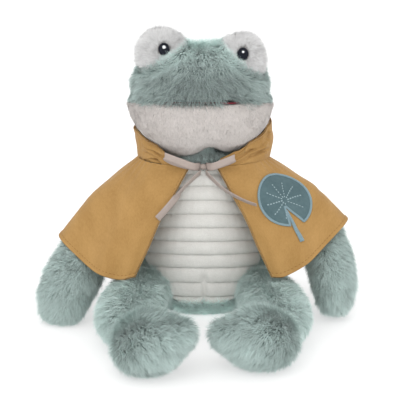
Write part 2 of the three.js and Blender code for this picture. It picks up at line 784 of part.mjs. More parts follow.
// Bow: a ribbon tied in front of the neck, with a knot, two flat loops and two loose tails.
const knot_width = 8;
const knot_height = 8;
const knot_depth = 9;
const knot_back = 3.5;
const loop_ahead = 8.5;
const loop_reach = { left: 29, right: 33 };
const loop_rise = { left: 6, right: 11 };
const loop_gap = 4.2;
const loop_steps = 20;
const loop_ahead_share = 0.3;
const loop_slope_step = 0.01;
const knot_at = vector(0, -neck_set_back - cape_neck_depth / 2 + knot_back, cape_neck_level);
const knot = egg(knot_at, knot_width / 2, knot_depth / 2, knot_height / 2, small_sides);
root.add(meshOf("bow_knot", knot, soft(ribbon_colour)));

// The middle of a loop's ribbon: out from the knot in front, round its blunt end and back behind.
function loopMiddle(side, reach, rise, turn) {
  const out = reach * Math.cos(turn);
  const apart = (Math.sign(turn) * Math.sqrt(Math.abs(Math.sin(turn))) * loop_gap) / 2;
  const ahead = loop_ahead * Math.sin((Math.PI / 2) * Math.min(out / (loop_ahead_share * reach), 1));
  const along = knot_width / 2 + seat_clearance + out;
  return knot_at.clone().add(vector(side * along, apart - ahead, (rise * out) / reach));
}

function bowLoop(side, reach, rise) {
  const [w, h] = [ribbon_width / 2, ribbon_thickness / 2];
  const corners = [[-h, -w], [h, -w], [h, w], [-h, w]];
  const rings = Array.from({ length: loop_steps + 1 }, (_, i) => {
    const turn = Math.PI * (i / loop_steps - 1 / 2);
    const [before, after] = [turn - loop_slope_step, turn + loop_slope_step];
    const along = loopMiddle(side, reach, rise, after).sub(loopMiddle(side, reach, rise, before));
    const normal = along.cross(vector(0, 0, 1)).normalize();
    const middle = loopMiddle(side, reach, rise, turn);
    return corners.map(([n, u]) => middle.clone().addScaledVector(normal, n).add(vector(0, 0, u)));
  });
  return loftOf(rings);
}
root.add(meshOf("bow_loop_left", bowLoop(1, loop_reach.left, loop_rise.left), soft(ribbon_colour)));
root.add(meshOf("bow_loop_right", bowLoop(-1, loop_reach.right, loop_rise.right), soft(ribbon_colour)));

// The routes of the two tails, from just under the knot to their cut ends, as steps out from the knot.
const tail_steps = 10;
const tail_sides = 8;
const tail_routes = {
  left: [
    [2.5, -3, -4.9],
    [9, -10.5, -10],
    [19, -17.5, -17.5],
    [30, -19.1, -24],
    [40, -21.3, -28.5],
    [50, -24, -31.5],
  ],
  right: [
    [-2.5, -3, -4.9],
    [-10, -12.5, -9.5],
    [-19, -19, -17],
    [-27, -21.7, -26.5],
    [-35, -24.8, -35.5],
    [-43, -28.8, -43.5],
  ],
};

function ribbonTail(route) {
  const path = new THREE.CatmullRomCurve3(route.map((step) => vector(...step).add(knot_at)));
  const section = new THREE.Shape();
  section.absellipse(0, 0, ribbon_thickness / 2, ribbon_width / 2, 0, 2 * Math.PI);
  const points = section.getSpacedPoints(tail_sides).slice(0, tail_sides);
  const options = { steps: tail_steps, bevelEnabled: false, extrudePath: path };
  return solidOf(new THREE.ExtrudeGeometry(new THREE.Shape(points), options));
}
root.add(meshOf("tie_tail_left", ribbonTail(tail_routes.left), soft(ribbon_colour)));
root.add(meshOf("tie_tail_right", ribbonTail(tail_routes.right), soft(ribbon_colour)));

export default root;
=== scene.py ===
import json
from math import ceil, cos, degrees, pi, radians, sin, sqrt
import bpy
import numpy as np
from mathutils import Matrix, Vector
from mathutils.bvhtree import BVHTree
from mathutils.kdtree import KDTree

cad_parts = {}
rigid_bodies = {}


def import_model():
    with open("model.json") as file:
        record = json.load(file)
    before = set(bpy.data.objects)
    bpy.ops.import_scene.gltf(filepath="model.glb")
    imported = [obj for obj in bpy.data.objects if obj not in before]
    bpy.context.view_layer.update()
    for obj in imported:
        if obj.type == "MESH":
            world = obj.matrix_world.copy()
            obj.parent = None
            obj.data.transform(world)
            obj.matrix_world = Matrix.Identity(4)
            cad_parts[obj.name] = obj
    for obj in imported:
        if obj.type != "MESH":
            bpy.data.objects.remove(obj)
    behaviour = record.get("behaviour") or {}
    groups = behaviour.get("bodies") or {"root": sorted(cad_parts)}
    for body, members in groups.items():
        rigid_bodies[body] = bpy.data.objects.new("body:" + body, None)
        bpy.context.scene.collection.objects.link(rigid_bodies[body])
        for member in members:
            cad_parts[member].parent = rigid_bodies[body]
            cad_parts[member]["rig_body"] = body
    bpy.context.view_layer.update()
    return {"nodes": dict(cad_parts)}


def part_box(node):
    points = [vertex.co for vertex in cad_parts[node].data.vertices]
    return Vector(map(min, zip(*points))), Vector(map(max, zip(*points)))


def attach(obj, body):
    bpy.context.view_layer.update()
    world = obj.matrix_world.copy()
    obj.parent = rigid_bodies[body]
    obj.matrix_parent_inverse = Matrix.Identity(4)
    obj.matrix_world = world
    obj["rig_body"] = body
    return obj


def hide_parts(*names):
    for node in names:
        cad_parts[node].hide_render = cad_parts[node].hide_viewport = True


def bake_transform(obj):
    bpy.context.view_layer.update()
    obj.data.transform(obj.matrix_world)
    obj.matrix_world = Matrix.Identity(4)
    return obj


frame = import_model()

# Camera, floor and light: the frog sits on a pale plain floor in broad soft light from all sides.
# The camera looks a little down on it from straight ahead, as the photograph does.
MM = 0.001
view_pitch = radians(15)
view_distance = 1150 * MM
view_middle = Vector((-3, 0, 105)) * MM


def put(name, data, place=(0, 0, 0), turn=(0, 0, 0)):
    """Sets a mesh, a light or the camera in the scene."""
    made = bpy.data.objects.new(name, data)
    made.location = place
    made.rotation_euler = turn
    bpy.context.scene.collection.objects.link(made)
    return made


camera = bpy.data.cameras.new("camera")
camera.sensor_width = 36
camera.lens = 103.5
view_from = view_middle + view_distance * Vector((0, -cos(view_pitch), sin(view_pitch)))
bpy.context.scene.camera = put("camera", camera, view_from, (pi / 2 - view_pitch, 0, 0))
bpy.context.scene.view_settings.view_transform = "Standard"

studio = bpy.data.worlds.new("studio")
studio.use_nodes = True
sky = studio.node_tree.nodes["Background"].inputs
sky["Color"].default_value = (1, 1, 1, 1)
sky["Strength"].default_value = 1.15
bpy.context.scene.world = studio

soft_boxes = {"overhead": ((-0.3, -0.8, 1.0), 0.8, 2.6), "front_fill": ((0.3, -1.4, 0.25), 0.9, 3.5),
              "back_fill": ((0.3, 1.3, 0.75), 1.0, 3.0)}
for name, (place, width, power) in soft_boxes.items():
    light = bpy.data.lights.new(name, "AREA")
    light.size = width
    light.energy = power
    put(name, light, place, (view_middle - Vector(place)).to_track_quat("-Z", "Y").to_euler())


def plain_material(name, settings):
    """A material that has these values all over, and its shader's sockets."""
    made = bpy.data.materials.new(name)
    made.use_nodes = True
    sockets = made.node_tree.nodes["Principled BSDF"].inputs
    for socket, value in settings.items():
        sockets[socket].default_value = value
    return made, sockets


floor_reach = 14
floor_mesh = bpy.data.meshes.new("floor")
floor_corners = ((-1, -1), (1, -1), (1, 1), (-1, 1))
floor_mesh.from_pydata([(x * floor_reach, y * floor_reach, 0) for x, y in floor_corners], [], [(0, 1, 2, 3)])
floor_mesh.materials.append(plain_material("pale_floor", {
    "Base Color": (0.5, 0.5, 0.5, 1), "Roughness": 0.9, "Emission Color": (1, 1, 1, 1),
    "Emission Strength": 0.52})[0])
put("floor", floor_mesh)


# Torso: a stuffed bag of green long-pile plush, sewn from a backing with the pile on its outside, with a
# ball of a neck under the head. The pile is combed down, and its tips are paler than its roots; the dark
# roots are partly the plush's own colour and partly painted shade deep in the pile.
def light_of(chart_colour):
    """A colour read from a colour chart, 0 to 255, as the light that it gives back."""
    return [(c / 255 / 12.92) if c < 10.4 else ((c / 255 + 0.055) / 1.055) ** 2.4 for c in chart_colour]


class Dye:
    """A shader socket that adds, multiplies and compares like a number, and blends like a colour."""

    def __init__(self, tree, socket=None):
        self.tree, self.socket = tree, socket

    def node(self, kind, settings={}, values={}, out=0):
        """Adds a shader node: its settings first, then the values or links of its sockets."""
        made = self.tree.nodes.new("ShaderNode" + kind)
        for setting, value in settings.items():
            if setting == "stops":
                for stop, (place, tint) in zip(made.color_ramp.elements, value):
                    stop.position, stop.color = place, (*light_of(tint), 1)
                for place, tint in value[2:]:
                    made.color_ramp.elements.new(place).color = (*light_of(tint), 1)
            else:
                setattr(made, setting, value)
        for name, value in values.items():
            socket = made.inputs[name]
            if isinstance(value, Dye):
                self.tree.links.new(value.socket, socket)
            else:
                socket.default_value = (*light_of(value), 1) if socket.type == "RGBA" else value
        return Dye(self.tree, made.outputs[out])

    def join(self, operation, *terms):
        plain = [isinstance(x, (int, float)) for x in terms]
        if all(number or x.socket.type == "VALUE" for x, number in zip(terms, plain)):
            return self.node("Math", {"operation": operation}, dict(enumerate(terms)))
        terms = [(x, x, x) if number else x for x, number in zip(terms, plain)]
        return self.node("VectorMath", {"operation": operation}, dict(enumerate(terms)))

    def __add__(self, other):
        return self.join("ADD", self, other)

    def __radd__(self, other):
        return self.join("ADD", other, self)

    def __sub__(self, other):
        return self.join("SUBTRACT", self, other)

    def __rsub__(self, other):
        return self.join("SUBTRACT", other, self)

    def __mul__(self, other):
        return self.join("MULTIPLY", self, other)

    def __rmul__(self, other):
        return self.join("MULTIPLY", other, self)

    def __gt__(self, other):
        return self.join("GREATER_THAN", self, other)

    def blend(self, low, high):
        """The colour low where this is 0 and high where it is 1."""
        return self.node("Mix", {"data_type": "RGBA"}, {0: self, 6: low, 7: high}, 2)

    def noise(self, size, detail=2.0, place=None):
        """Soft patches of about this size, from 0 to 1, on the object or on the cut cloth."""
        place = place or self.node("TexCoord", out="Object")
        return self.node("TexNoise", {}, {"Vector": place, "Scale": 1 / size, "Detail": detail})


def finish(name, roughness, sheen, paint, *tones, slot=None):
    """A cloth material: paint gives what varies over it, and the rest is the same all over."""
    made, sockets = plain_material(name + "_cloth", {
        "Roughness": roughness, "Sheen Weight": sheen, "Sheen Roughness": 0.45, "Specular IOR Level": 0.2})
    made["slot"] = slot or name
    dye = Dye(made.node_tree)
    for socket, value in paint(dye, *tones).items():
        if socket == "Relief":
            socket = "Normal"
            value = dye.node("Bump", {}, {"Height": value[0], "Distance": value[1], "Strength": 1.0})
        made.node_tree.links.new(value.socket, sockets[socket])
    return made


def pile_paint(dye, root, middle, tip, patchiness):
    """A pile: dark where the strands stand in the backing, partly its own colour and partly painted shade
    among the strands, pale at their tips, uneven by lock, and lightened or darkened by the painted light that
    lock carries.
    """
    along, lock = (dye.node("Attribute", {"attribute_name": name}, out="Fac") for name in ("along", "lock"))
    # The root stop is the pile's own dark colour, deepened with painted shade among the strands.
    strand = dye.node("ValToRGB", {"stops": [(0, root), (1, tip), (0.35, middle)]}, {"Fac": along})
    return {"Base Color": strand * (0.74 + lock * 0.5 + (dye.noise(22 * MM) - 0.5) * patchiness)}


# The first colour, at the roots, is darker partly with painted shade among the strands.
green_plush = finish("green_plush", 0.85, 0.35, pile_paint,
                     (122, 140, 137), (154, 171, 167), (180, 194, 191), 0.3)


def numbers_of(items, field, kind=float, width=3):
    """One field of all the points or faces of a mesh, a row for each."""
    values = np.empty(len(items) * width, kind)
    items.foreach_get(field, values)
    return values.reshape(-1, width)


def read_skin(skin):
    """A skin's points, outward directions and triangles."""
    mesh = skin.data
    mesh.calc_loop_triangles()
    return (numbers_of(mesh.vertices, "co"), numbers_of(mesh.vertices, "normal"),
            numbers_of(mesh.loop_triangles, "vertices", int))


def together(parts):
    """Several pieces' points and faces, as one list of each."""
    points, faces = [], []
    for co, made in parts:
        faces += (np.array(made) + len(points)).tolist()
        points += np.array(co).tolist()
    return points, faces


def tree_of(*pieces):
    """The faces of some pieces, ready to be met by rays and nearest points."""
    return BVHTree.FromPolygons(*together(read_skin(piece)[::2] for piece in pieces))


def dress_up(piece, body, cloth, node=None):
    """Gives a piece its cloth, ties it to the body that carries it, and hides the solid that it replaces."""
    piece.data.materials.clear()
    piece.data.materials.append(cloth)
    if body:
        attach(piece, body)
    if node:
        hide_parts(node)
    return piece


def stuffed_skin(name, body, node, pull, cloth, neighbours=(), grain=2.2, rounds=8):
    """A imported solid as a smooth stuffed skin, drawn in by pull to leave room for its pile, except where it
    lies against a neighbour."""
    mesh = bpy.data.meshes.new(name)
    points, _, faces = read_skin(frame["nodes"][node])
    mesh.from_pydata(points.tolist(), [], faces.tolist())
    skin = put(name, mesh)
    weave = skin.modifiers.new("weave", "REMESH")
    weave.mode, weave.voxel_size = "VOXEL", grain * MM
    ease = skin.modifiers.new("ease", "SMOOTH")
    ease.factor, ease.iterations = 0.5, rounds
    made = bpy.data.meshes.new_from_object(skin.evaluated_get(bpy.context.evaluated_depsgraph_get()))
    skin.modifiers.clear()
    skin.data = made
    co, normals, _ = read_skin(skin)
    depth = np.full(len(co), pull * MM)
    for neighbour in neighbours:
        tree = tree_of(frame["nodes"][neighbour])
        away = np.array([tree.find_nearest(p)[3] for p in co.tolist()])
        depth *= np.clip(away / seam_reach, seam_room, 1)
    co = co - normals * depth[:, None]
    co[:, 2] = np.maximum(co[:, 2], off_the_floor)
    made.vertices.foreach_set("co", co.ravel())
    made.shade_smooth()
    dress_up(skin, body, cloth, node)
    return skin


def reshape(skin, change):
    """Moves the points of a skin, given and returned in mm."""
    co = read_skin(skin)[0] / MM
    skin.data.vertices.foreach_set("co", (change(co) * MM).ravel())
    skin.data.update()


def xyz(x, y, z):
    """Points or directions from their three parts."""
    return np.stack(np.broadcast_arrays(x, y, z), -1)


def unit(vectors):
    return vectors / np.maximum(np.linalg.norm(vectors, axis=-1, keepdims=True), 1e-9)


def ramp(value):
    """The value, held between 0 and 1."""
    return np.clip(value, 0, 1)


def bump(value, middle, width):
    """A soft bump: 1 at the middle and next to nothing two widths away."""
    return np.exp(-(((value - middle) / width) ** 2))


def grow_pile(skin, seed, length, per_mm2, comb, keep, shorter=lambda roots: 1, thick=0.4, lock_size=4.5,
              lean=0.9, curl=0.15, gather=0.1, pale=0.0, uneven=1.0, name=None):
    """Strands of pile on a skin, as thin tapered blades that lean with the comb and gather into locks. Keep
    says which roots are sewn, shorter gives the share of the length at each root, pale is painted light that
    lightens the pile where it lies in shade, or painted shade that darkens it when below 0, and uneven is how
    much the strands differ from each other in tone and in the way they catch the light."""
    points, normals, faces = read_skin(skin)
    corners = points[faces]
    area = np.linalg.norm(np.cross(corners[:, 1] - corners[:, 0], corners[:, 2] - corners[:, 0]), axis=1) / 2
    rng = np.random.default_rng(seed)

    def scatter(count):
        spot = (np.arange(count) + rng.random(count)) / count * area.sum()
        face = np.minimum(np.searchsorted(np.cumsum(area), spot), len(area) - 1)
        u, v = rng.random((2, count))
        over = u + v > 1
        u[over], v[over] = 1 - u[over], 1 - v[over]
        share = np.stack([1 - u - v, u, v], 1)[:, :, None]
        return (corners[face] * share).sum(1), unit((normals[faces[face]] * share).sum(1))

    centres, _ = scatter(max(int(area.sum() / MM**2 / lock_size**2), 1))
    locks = KDTree(len(centres))
    for i, centre in enumerate(centres.tolist()):
        locks.insert(centre, i)
    locks.balance()
    roots, up = scatter(int(area.sum() / MM**2 * per_mm2))
    chosen = keep(roots / MM, up)
    roots, up = roots[chosen], up[chosen]
    count = len(roots)
    lock = np.array([locks.find(p)[1] for p in roots.tolist()])
    sway = np.sin(roots / MM @ [0.16, 0.11, 0.13] + seed) + np.sin(roots / MM @ [-0.12, 0.2, 0.24] + 2 * seed)
    turn = 0.16 * sway + rng.normal(0, 0.14, len(centres))[lock] + rng.normal(0, 0.3, count)
    tilt = (lean + rng.normal(0, 0.05, len(centres))[lock] + rng.normal(0, 0.18, count)).clip(0.1, 1.25)
    long = (1 + rng.normal(0, 0.05, len(centres))[lock] + rng.normal(0, 0.15, count)).clip(0.5, 1.4)
    long *= shorter(roots / MM)
    # tone: painted light and shade from pale, plus tone that differs at random by lock and by strand; it is
    # stored as the lock attribute.
    tone = pale(roots / MM) if callable(pale) else pale
    tone += 0.5 + uneven * (rng.random(len(centres))[lock] * 0.35 + rng.random(count) * 0.65 - 0.5)
    twist = rng.normal(0, curl, len(centres))[lock]

    way = comb(roots / MM, up)
    flat = unit(way - up * (way * up).sum(1, keepdims=True))
    beside = np.cross(up, flat)
    flat = flat * np.cos(turn)[:, None] + beside * np.sin(turn)[:, None]
    beside = np.cross(up, flat)
    reach = (length * MM * long)[:, None]
    tilt = tilt[:, None]
    middle = roots + reach * 0.5 * (up * np.cos(tilt * 0.6) + flat * np.sin(tilt * 0.6))
    end = middle + reach * 0.5 * (up * np.cos(tilt * 1.5) + flat * np.sin(tilt * 1.5))
    pull = centres[lock] - roots
    pull -= up * (pull * up).sum(1, keepdims=True)
    middle = middle + pull * gather * 0.4 + beside * reach * (0.25 * twist)[:, None]
    end = end + pull * gather - beside * reach * (0.2 * twist)[:, None]
    roots = roots - up * root_depth * MM
    strand = unit(end - roots)
    wide = unit(np.cross(strand, up))
    roll = rng.normal(0, 0.5 * uneven, count).clip(-1, 1)[:, None]
    wide = unit(wide * np.cos(roll) + np.cross(strand, wide) * np.sin(roll))
    half = (thick * MM / 2 * (0.8 + 0.4 * rng.random(count)))[:, None]
    blades = np.stack([roots - wide * half, roots + wide * half, middle - wide * half * 0.8,
                       middle + wide * half * 0.8, end], 1)
    blades[:, :, 2] = np.maximum(blades[:, :, 2], off_the_floor)
    facing = unit(0.4 * up + 0.6 * unit(np.cross(wide, strand)))

    mesh = bpy.data.meshes.new(name or skin.name.replace("plush", "pile"))
    mesh.vertices.add(count * 5)
    mesh.vertices.foreach_set("co", blades.ravel())
    mesh.loops.add(count * 7)
    loops = (np.arange(count)[:, None] * 5 + [0, 1, 3, 2, 2, 3, 4]).ravel()
    mesh.loops.foreach_set("vertex_index", loops)
    mesh.polygons.add(count * 2)
    mesh.polygons.foreach_set("loop_start", (np.arange(count)[:, None] * 7 + [0, 4]).ravel())
    mesh.update(calc_edges=True)
    along = np.tile([0.0, 0.0, 0.55, 0.55, 1.0], count)
    for layer, values in (("along", along), ("lock", np.repeat(tone, 5))):
        mesh.attributes.new(layer, "FLOAT", "POINT").data.foreach_set("value", values)
    columns = ceil(sqrt(count))
    cell = np.stack([np.arange(count) % columns, np.arange(count) // columns], 1)[:, None, :]
    inside = [(0.1, 0.1), (0.9, 0.1), (0.8, 0.5), (0.2, 0.5), (0.2, 0.5), (0.8, 0.5), (0.5, 0.9)]
    mesh.uv_layers.new(name="OFBake").data.foreach_set("uv", ((cell + inside) / columns).ravel())
    mesh.shade_smooth()
    mesh.normals_split_custom_set_from_vertices(np.repeat(facing, 5, axis=0).tolist())
    return dress_up(put(mesh.name, mesh), skin["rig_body"], skin.data.materials[0])


def combed(x, y, z):
    """A comb that lays the pile one way, in the object's own directions."""
    return lambda roots, up: np.tile([x, y, z], (len(roots), 1))


def thin_out(share):
    """Which strands stay where the pile is thinner, out of sight under other pieces."""
    return np.random.default_rng(1).random(len(share)) < share


off_the_floor, root_depth, seam_reach, seam_room = 0.3 * MM, 0.4, 8 * MM, 0.12
pile_room, foot_pile_room = 3.6, 5.4
torso_front_y, lap_level, hem_level, chin_level = -20, 12, 64, 146


def off_the_belly(roots, up):
    """Where the torso's pile shows: not behind the belly panel, nor on the seat."""
    x, y, z = roots.T
    reach = np.interp(z, [12, 20, 32, 58, 84, 110, 146], [20, 30, 42, 52, 50, 40, 28])
    behind_belly = (y < torso_front_y) & (np.abs(x) < reach) & (z < chin_level) & (z > 11)
    covered = ((z > hem_level) & (z < chin_level)) | ((y > 20) & (z > 52)) | (y > 0) & (z > 148)
    return ~behind_belly & (z > 1.2) & thin_out(np.where(covered, 0.12, 0.9))


def torso_comb(roots, up):
    """Down the body, but up over the edge of the belly panel and over the chin."""
    _, y, z = roots.T
    over = (y < torso_front_y) & ((z < lap_level) | (z > chin_level))
    return xyz(0, np.where(z < lap_level, -0.9, -0.4), np.where(over, 1.0, -0.5))


def lap_comb(roots, up):
    """Forwards from under the belly, and up at the panel's edge."""
    return xyz(0, -0.6, roots[:, 2] / 6 - 1.1)


def within(middle, reach):
    """Which strands stand in a box, given in mm."""
    return lambda roots, up: np.all(np.abs(roots - middle) < reach, axis=1) & (roots[:, 2] > 1.2)


torso_skin = stuffed_skin("torso_plush", "torso", "torso", pile_room, green_plush, ["belly_panel"])
# pale here is painted light on the torso's pile where it lies in shade, most on the strip under the belly
# panel's edge.
torso_pile = grow_pile(torso_skin, 11, 10, 2.1, torso_comb, off_the_belly,
                       lambda roots: 1 + 0.35 * (roots[:, 2] < 14), lean=0.7,
                       pale=lambda roots: 0.6 + 1.6 * ((roots[:, 2] < 14) & (roots[:, 1] < torso_front_y)))
# pale=-0.5 is painted shade on the tuft under the chin.
neck_tuft = grow_pile(
    torso_skin, 12, 9, 5, combed(0, -1, 0.5), within([6, -42, 154], [26, 18, 9]), lean=0.4, curl=0.6,
    lock_size=3, gather=0.5, uneven=1.5, pale=-0.5, name="neck_pile")
# pale=2.0 is painted light on the lap tuft, which lies in shade under the belly panel.
grow_pile(torso_skin, 13, 11, 5, lap_comb, within([0, -46, 7], [48, 22, 7.5]), lean=0.8, curl=0.5,
          lock_size=3, gather=0.5, uneven=1.3, pale=2.0, name="lap_pile")

# Seat panel and pellet bag: an oval of the same plush closes the torso underneath, and a bag of pellets
# lies on it inside and keeps the frog sitting.
stuffed_skin("seat_plush", "torso", "seat_panel", 0, green_plush, grain=0.9, rounds=3)
pellet_size = 1.2 * MM
pellet_cloth = finish("pellet_cloth", 0.9, 0.1, lambda dye: {
    "Base Color": (dye.noise(pellet_size) > 0.5).blend((222, 217, 205), (235, 231, 222))})
stuffed_skin("pellet_bag_cloth", "torso", "pellet_bag", 0.3, pellet_cloth, grain=1.5, rounds=4)

# Belly panel: cream plush with wide ribs that run across it, sewn on the front of the torso. Each rib is a
# soft roll between two sewn grooves, and a short seam draws the lowest ribs together in the middle.
torso_height, torso_sink, torso_back = 157, 14, 1
torso_width, torso_depth, torso_bluntness = 126, 106, 0.38
torso_width_shares = [1, 1.03, 1.01, 0.96, 0.9, 0.86, 0.88]
torso_depth_shares = [1.04, 1.03, 1.02, 0.99, 0.93, 0.89, 0.92]
belly_width_shares = [0.34, 0.6, 0.8, 0.95, 1, 0.97, 0.91, 0.83, 0.73, 0.62, 0.5, 0.42]
belly_width, belly_bottom, first_groove, rib_pitch, rib_count = 108, 12.5, 19.6, 13.1, 11
rib_crest, rib_groove, belly_sunk, pinch_top = 4.9, 1.2, 2.4, 48
rib_steps, belly_columns = 14, 90


def spline(before, start, stop, after, f):
    """A smooth curve's value, the share f of the way from start to stop."""
    bend = 2 * before - 5 * start + 4 * stop - after
    twist = 3 * (start - stop) + after - before
    return start + f * (stop - before + f * (bend + f * twist)) / 2


def read_shares(shares, t):
    """Reads a list of shares, evenly spaced from 0 to 1, smoothly at t."""
    shares = np.asarray(shares, float)
    place = ramp(t) * (len(shares) - 1)
    low = np.minimum(np.floor(place).astype(int), len(shares) - 2)
    before, after = shares[np.maximum(low - 1, 0)], shares[np.minimum(low + 2, len(shares) - 1)]
    return spline(before, shares[low], shares[low + 1], after, place - low)


def torso_front(share, level, reach, grow):
    """A point on the front of the torso, in mm: share of the way out to reach, at a level."""
    t = (level + torso_sink) / (torso_height + torso_sink)
    swell = np.power(2 * np.sqrt(np.maximum(t * (1 - t), 0)), torso_bluntness)
    half_width = torso_width / 2 * read_shares(torso_width_shares, t) * swell
    half_depth = torso_depth / 2 * read_shares(torso_depth_shares, t) * swell
    angle = np.arcsin(np.minimum(reach / half_width, 1)) * share
    return xyz((half_width + grow) * np.sin(angle), torso_back - (half_depth + grow) * np.cos(angle), level)


def grid_faces(rows, columns, wrap=False):
    """The quads of a grid of points that are laid row by row."""
    r, c = np.meshgrid(np.arange(rows - 1), np.arange(columns if wrap else columns - 1), indexing="ij")
    near, far = c.ravel(), (c.ravel() + 1) % columns
    low, high = r.ravel() * columns, (r.ravel() + 1) * columns
    return np.stack([low + near, low + far, high + far, high + near], 1)


def closed_sheet(front, back):
    """Two matching grids of points, a face and a back, closed round their edges: points and faces."""
    rows, columns = front.shape[:2]
    behind = rows * columns
    quads = grid_faces(rows, columns).tolist()
    quads += [[behind + i for i in reversed(quad)] for quad in quads]
    at = np.arange(behind).reshape(rows, columns)
    edge = np.concatenate([at[:, 0], at[-1, 1:], at[-2::-1, -1], at[0, -2::-1]]).tolist()
    quads += [[b, a, behind + a, behind + b] for a, b in zip(edge, edge[1:])]
    return np.concatenate([front.reshape(-1, 3), back.reshape(-1, 3)]), quads


def sew(name, body, points, faces, cloth, spread=None, node=None):
    """A piece of cloth or thread from points in mm, with its finish. It rides on a body, or on none yet."""
    mesh = bpy.data.meshes.new(name)
    mesh.from_pydata((np.asarray(points).reshape(-1, 3) * MM).tolist(), [], faces)
    if spread is not None:
        spread = np.asarray(spread).reshape(-1, 2)[numbers_of(mesh.loops, "vertex_index", int, 1)]
        mesh.uv_layers.new(name="cut").data.foreach_set("uv", spread.ravel())
    mesh.shade_smooth()
    return dress_up(put(name, mesh), body, cloth, node)


def rib_paint(dye):
    nap = dye.noise(1.1 * MM, 3)
    return {"Base Color": (nap * 0.6 + dye.noise(14 * MM) * 0.4).blend((190, 188, 183), (226, 225, 221)),
            "Relief": (nap, 0.5 * MM)}


ribbed_plush = finish("ribbed_plush", 0.9, 0.2, rib_paint)
grooves = [belly_bottom] + [first_groove + rib * rib_pitch for rib in range(rib_count)]
rib_place = np.arange(rib_count * rib_steps + 1)[:, None] / rib_steps
levels = np.interp(rib_place, range(rib_count + 1), grooves)
crests = np.abs(np.sin(pi * rib_place)) ** 0.4
share = np.linspace(-1, 1, belly_columns + 1)[None, :]
belly_reach = belly_width / 2 * read_shares(belly_width_shares, rib_place / rib_count)
arch = 5.5 * (1 - share**2) * ramp((levels - 14) / 30) * ramp((grooves[-1] - levels) / 20)
pinch = 4.4 * np.exp(-np.abs((share * belly_reach - 1) / 2.4) ** 1.4) * ramp((pinch_top - levels) / 12)
rib = np.floor((levels - first_groove) / rib_pitch)
pucker = 0.45 * np.sin(share * 31 + rib * 2.1) * np.sin(share * 17 - rib * 1.3) * (1 - 0.7 * crests**2)
roll = (rib_crest - rib_groove) * crests * (1 - 0.25 * np.abs(share) ** 6)
relief = np.maximum(rib_groove + roll + pucker - pinch, 0.6)
belly_face = torso_front(share, levels + arch, belly_reach, relief)
belly_back = torso_front(share, levels + arch, belly_reach, -belly_sunk + 0 * share)
sew("belly_ribs", "torso", *closed_sheet(belly_face, belly_back), ribbed_plush,
              node="belly_panel")

# Legs: on each side a stuffed thigh lies forwards from the hip, and a stuffed foot is sewn across its end,
# turned inwards. Both are green plush, and the leg turns a little on its hip.
both_sides = (("left", 1), ("right", -1))
toe_start, toe_run, toe_gain = -165, 35, 9


def off_floor(roots, up):
    return roots[:, 2] > 1


def outside_torso(roots, up):
    """Where a thigh's pile isn't hidden in the torso."""
    return off_floor(roots, up) & ((roots[:, 1] < -30) | (np.abs(roots[:, 0]) > 44))


for side, sign in both_sides:
    thigh, foot = "thigh_" + side, "foot_" + side
    thigh_skin = stuffed_skin(thigh + "_plush", "leg_" + side, thigh, pile_room, green_plush, [foot])
    foot_skin = stuffed_skin(foot + "_plush", "leg_" + side, foot, foot_pile_room, green_plush, [thigh])
    if side == "right":
        reshape(foot_skin, lambda co: co - [0, toe_gain, 0] * ramp((toe_start - co[:, 1:2]) / toe_run))
    # pale paints light on the thigh's and foot's pile, which the belly, cape and arm otherwise leave in
    # shade.
    grow_pile(thigh_skin, 21 + sign, 9.5, 2.6, combed(0.3 * sign, -0.3, -1), outside_torso, lean=0.8,
              pale=1.0)
    grow_pile(foot_skin, 31 + sign, 10, 3.4, combed(-0.6 * sign, -0.3, -0.6), off_floor, lean=0.55, pale=0.6)

# Arms: on each side a stuffed arm of green plush hangs from the shoulder under the cape and ends in a
# mitten hand beside the thigh. It swings forward on its shoulder.
left_hand_lift, left_hand_top = 5, 70
arm_piles = []
for side, sign in both_sides:
    arm = "arm_" + side
    arm_skin = stuffed_skin(arm + "_plush", arm, arm, pile_room, green_plush)
    if side == "left":
        reshape(arm_skin, lambda co: co + [0, 0, 1] * ramp(1 - co[:, 2:] / left_hand_top) * left_hand_lift)
    # pale paints light on the arm's pile, which lies in shade under the cape.
    arm_piles.append(grow_pile(arm_skin, 41 + sign, 9.5, 3.0, combed(0.35 * sign, -0.2, -1), off_floor,
                               lean=0.75, pale=0.6))

# Head: a stuffed ball of green plush above the smile and a short smooth cream plush below it. The green
# pile falls over the seam, and a dark red lining shows in the gap between the lips.
smile_corners, smile_level, head_middle, whorl = (-42, 36), 217, -3, np.array([-6.5, -6, 250])
eye_middles = np.array([[41, -30, 262], [-41, -30, 267]])
# The first colour, at the roots, is darker partly with painted shade among the strands.
cream_plush = finish("cream_plush", 0.85, 0.3, pile_paint,
                     (198, 192, 188), (206, 200, 196), (215, 209, 205), 0.1)
crown_skin = stuffed_skin("crown_plush", "head", "head_crown", 4.6, green_plush,
                          ["eye_mound_left", "eye_mound_right", "muzzle"], rounds=4)
eye_trees = [tree_of(frame["nodes"]["eye_mound_" + side]) for side, _ in both_sides]


def lip_gap(x):
    """Where the pile leaves the lining of the mouth in sight."""
    return bump(x, 24, 6)


def eye_distance(co):
    """How far each point, in mm, is from the nearer eye's ball, and the direction to that eye's middle."""
    near = np.array([[tree.find_nearest(p)[3] for tree in eye_trees] for p in (co * MM).tolist()]) / MM
    return near.min(1), unit(eye_middles[near.argmin(1)] - co)


def shape_crown(co):
    """Lowers the crown between the eyes and fills it under them, lifts its lip at the gap and draws in the
    corners of the smile."""
    x, y, z = co.T
    under_eyes = bump(eye_distance(co)[0], 0, 5) * (y < -8)
    lifted = 2.5 * ramp((224 - z) / 8) * lip_gap(x) * (y < -30)
    lowered = 4 * bump(x, -5, 20) * ramp((z - 240) / 14)
    drawn_in = 5 * sum(bump(x, corner, 4) * bump(z, smile_level, 5) for corner in smile_corners) * (y < -30)
    return co + under_eyes[:, None] * [0, -2.6, 1.2] + xyz(0, drawn_in, lifted - lowered)


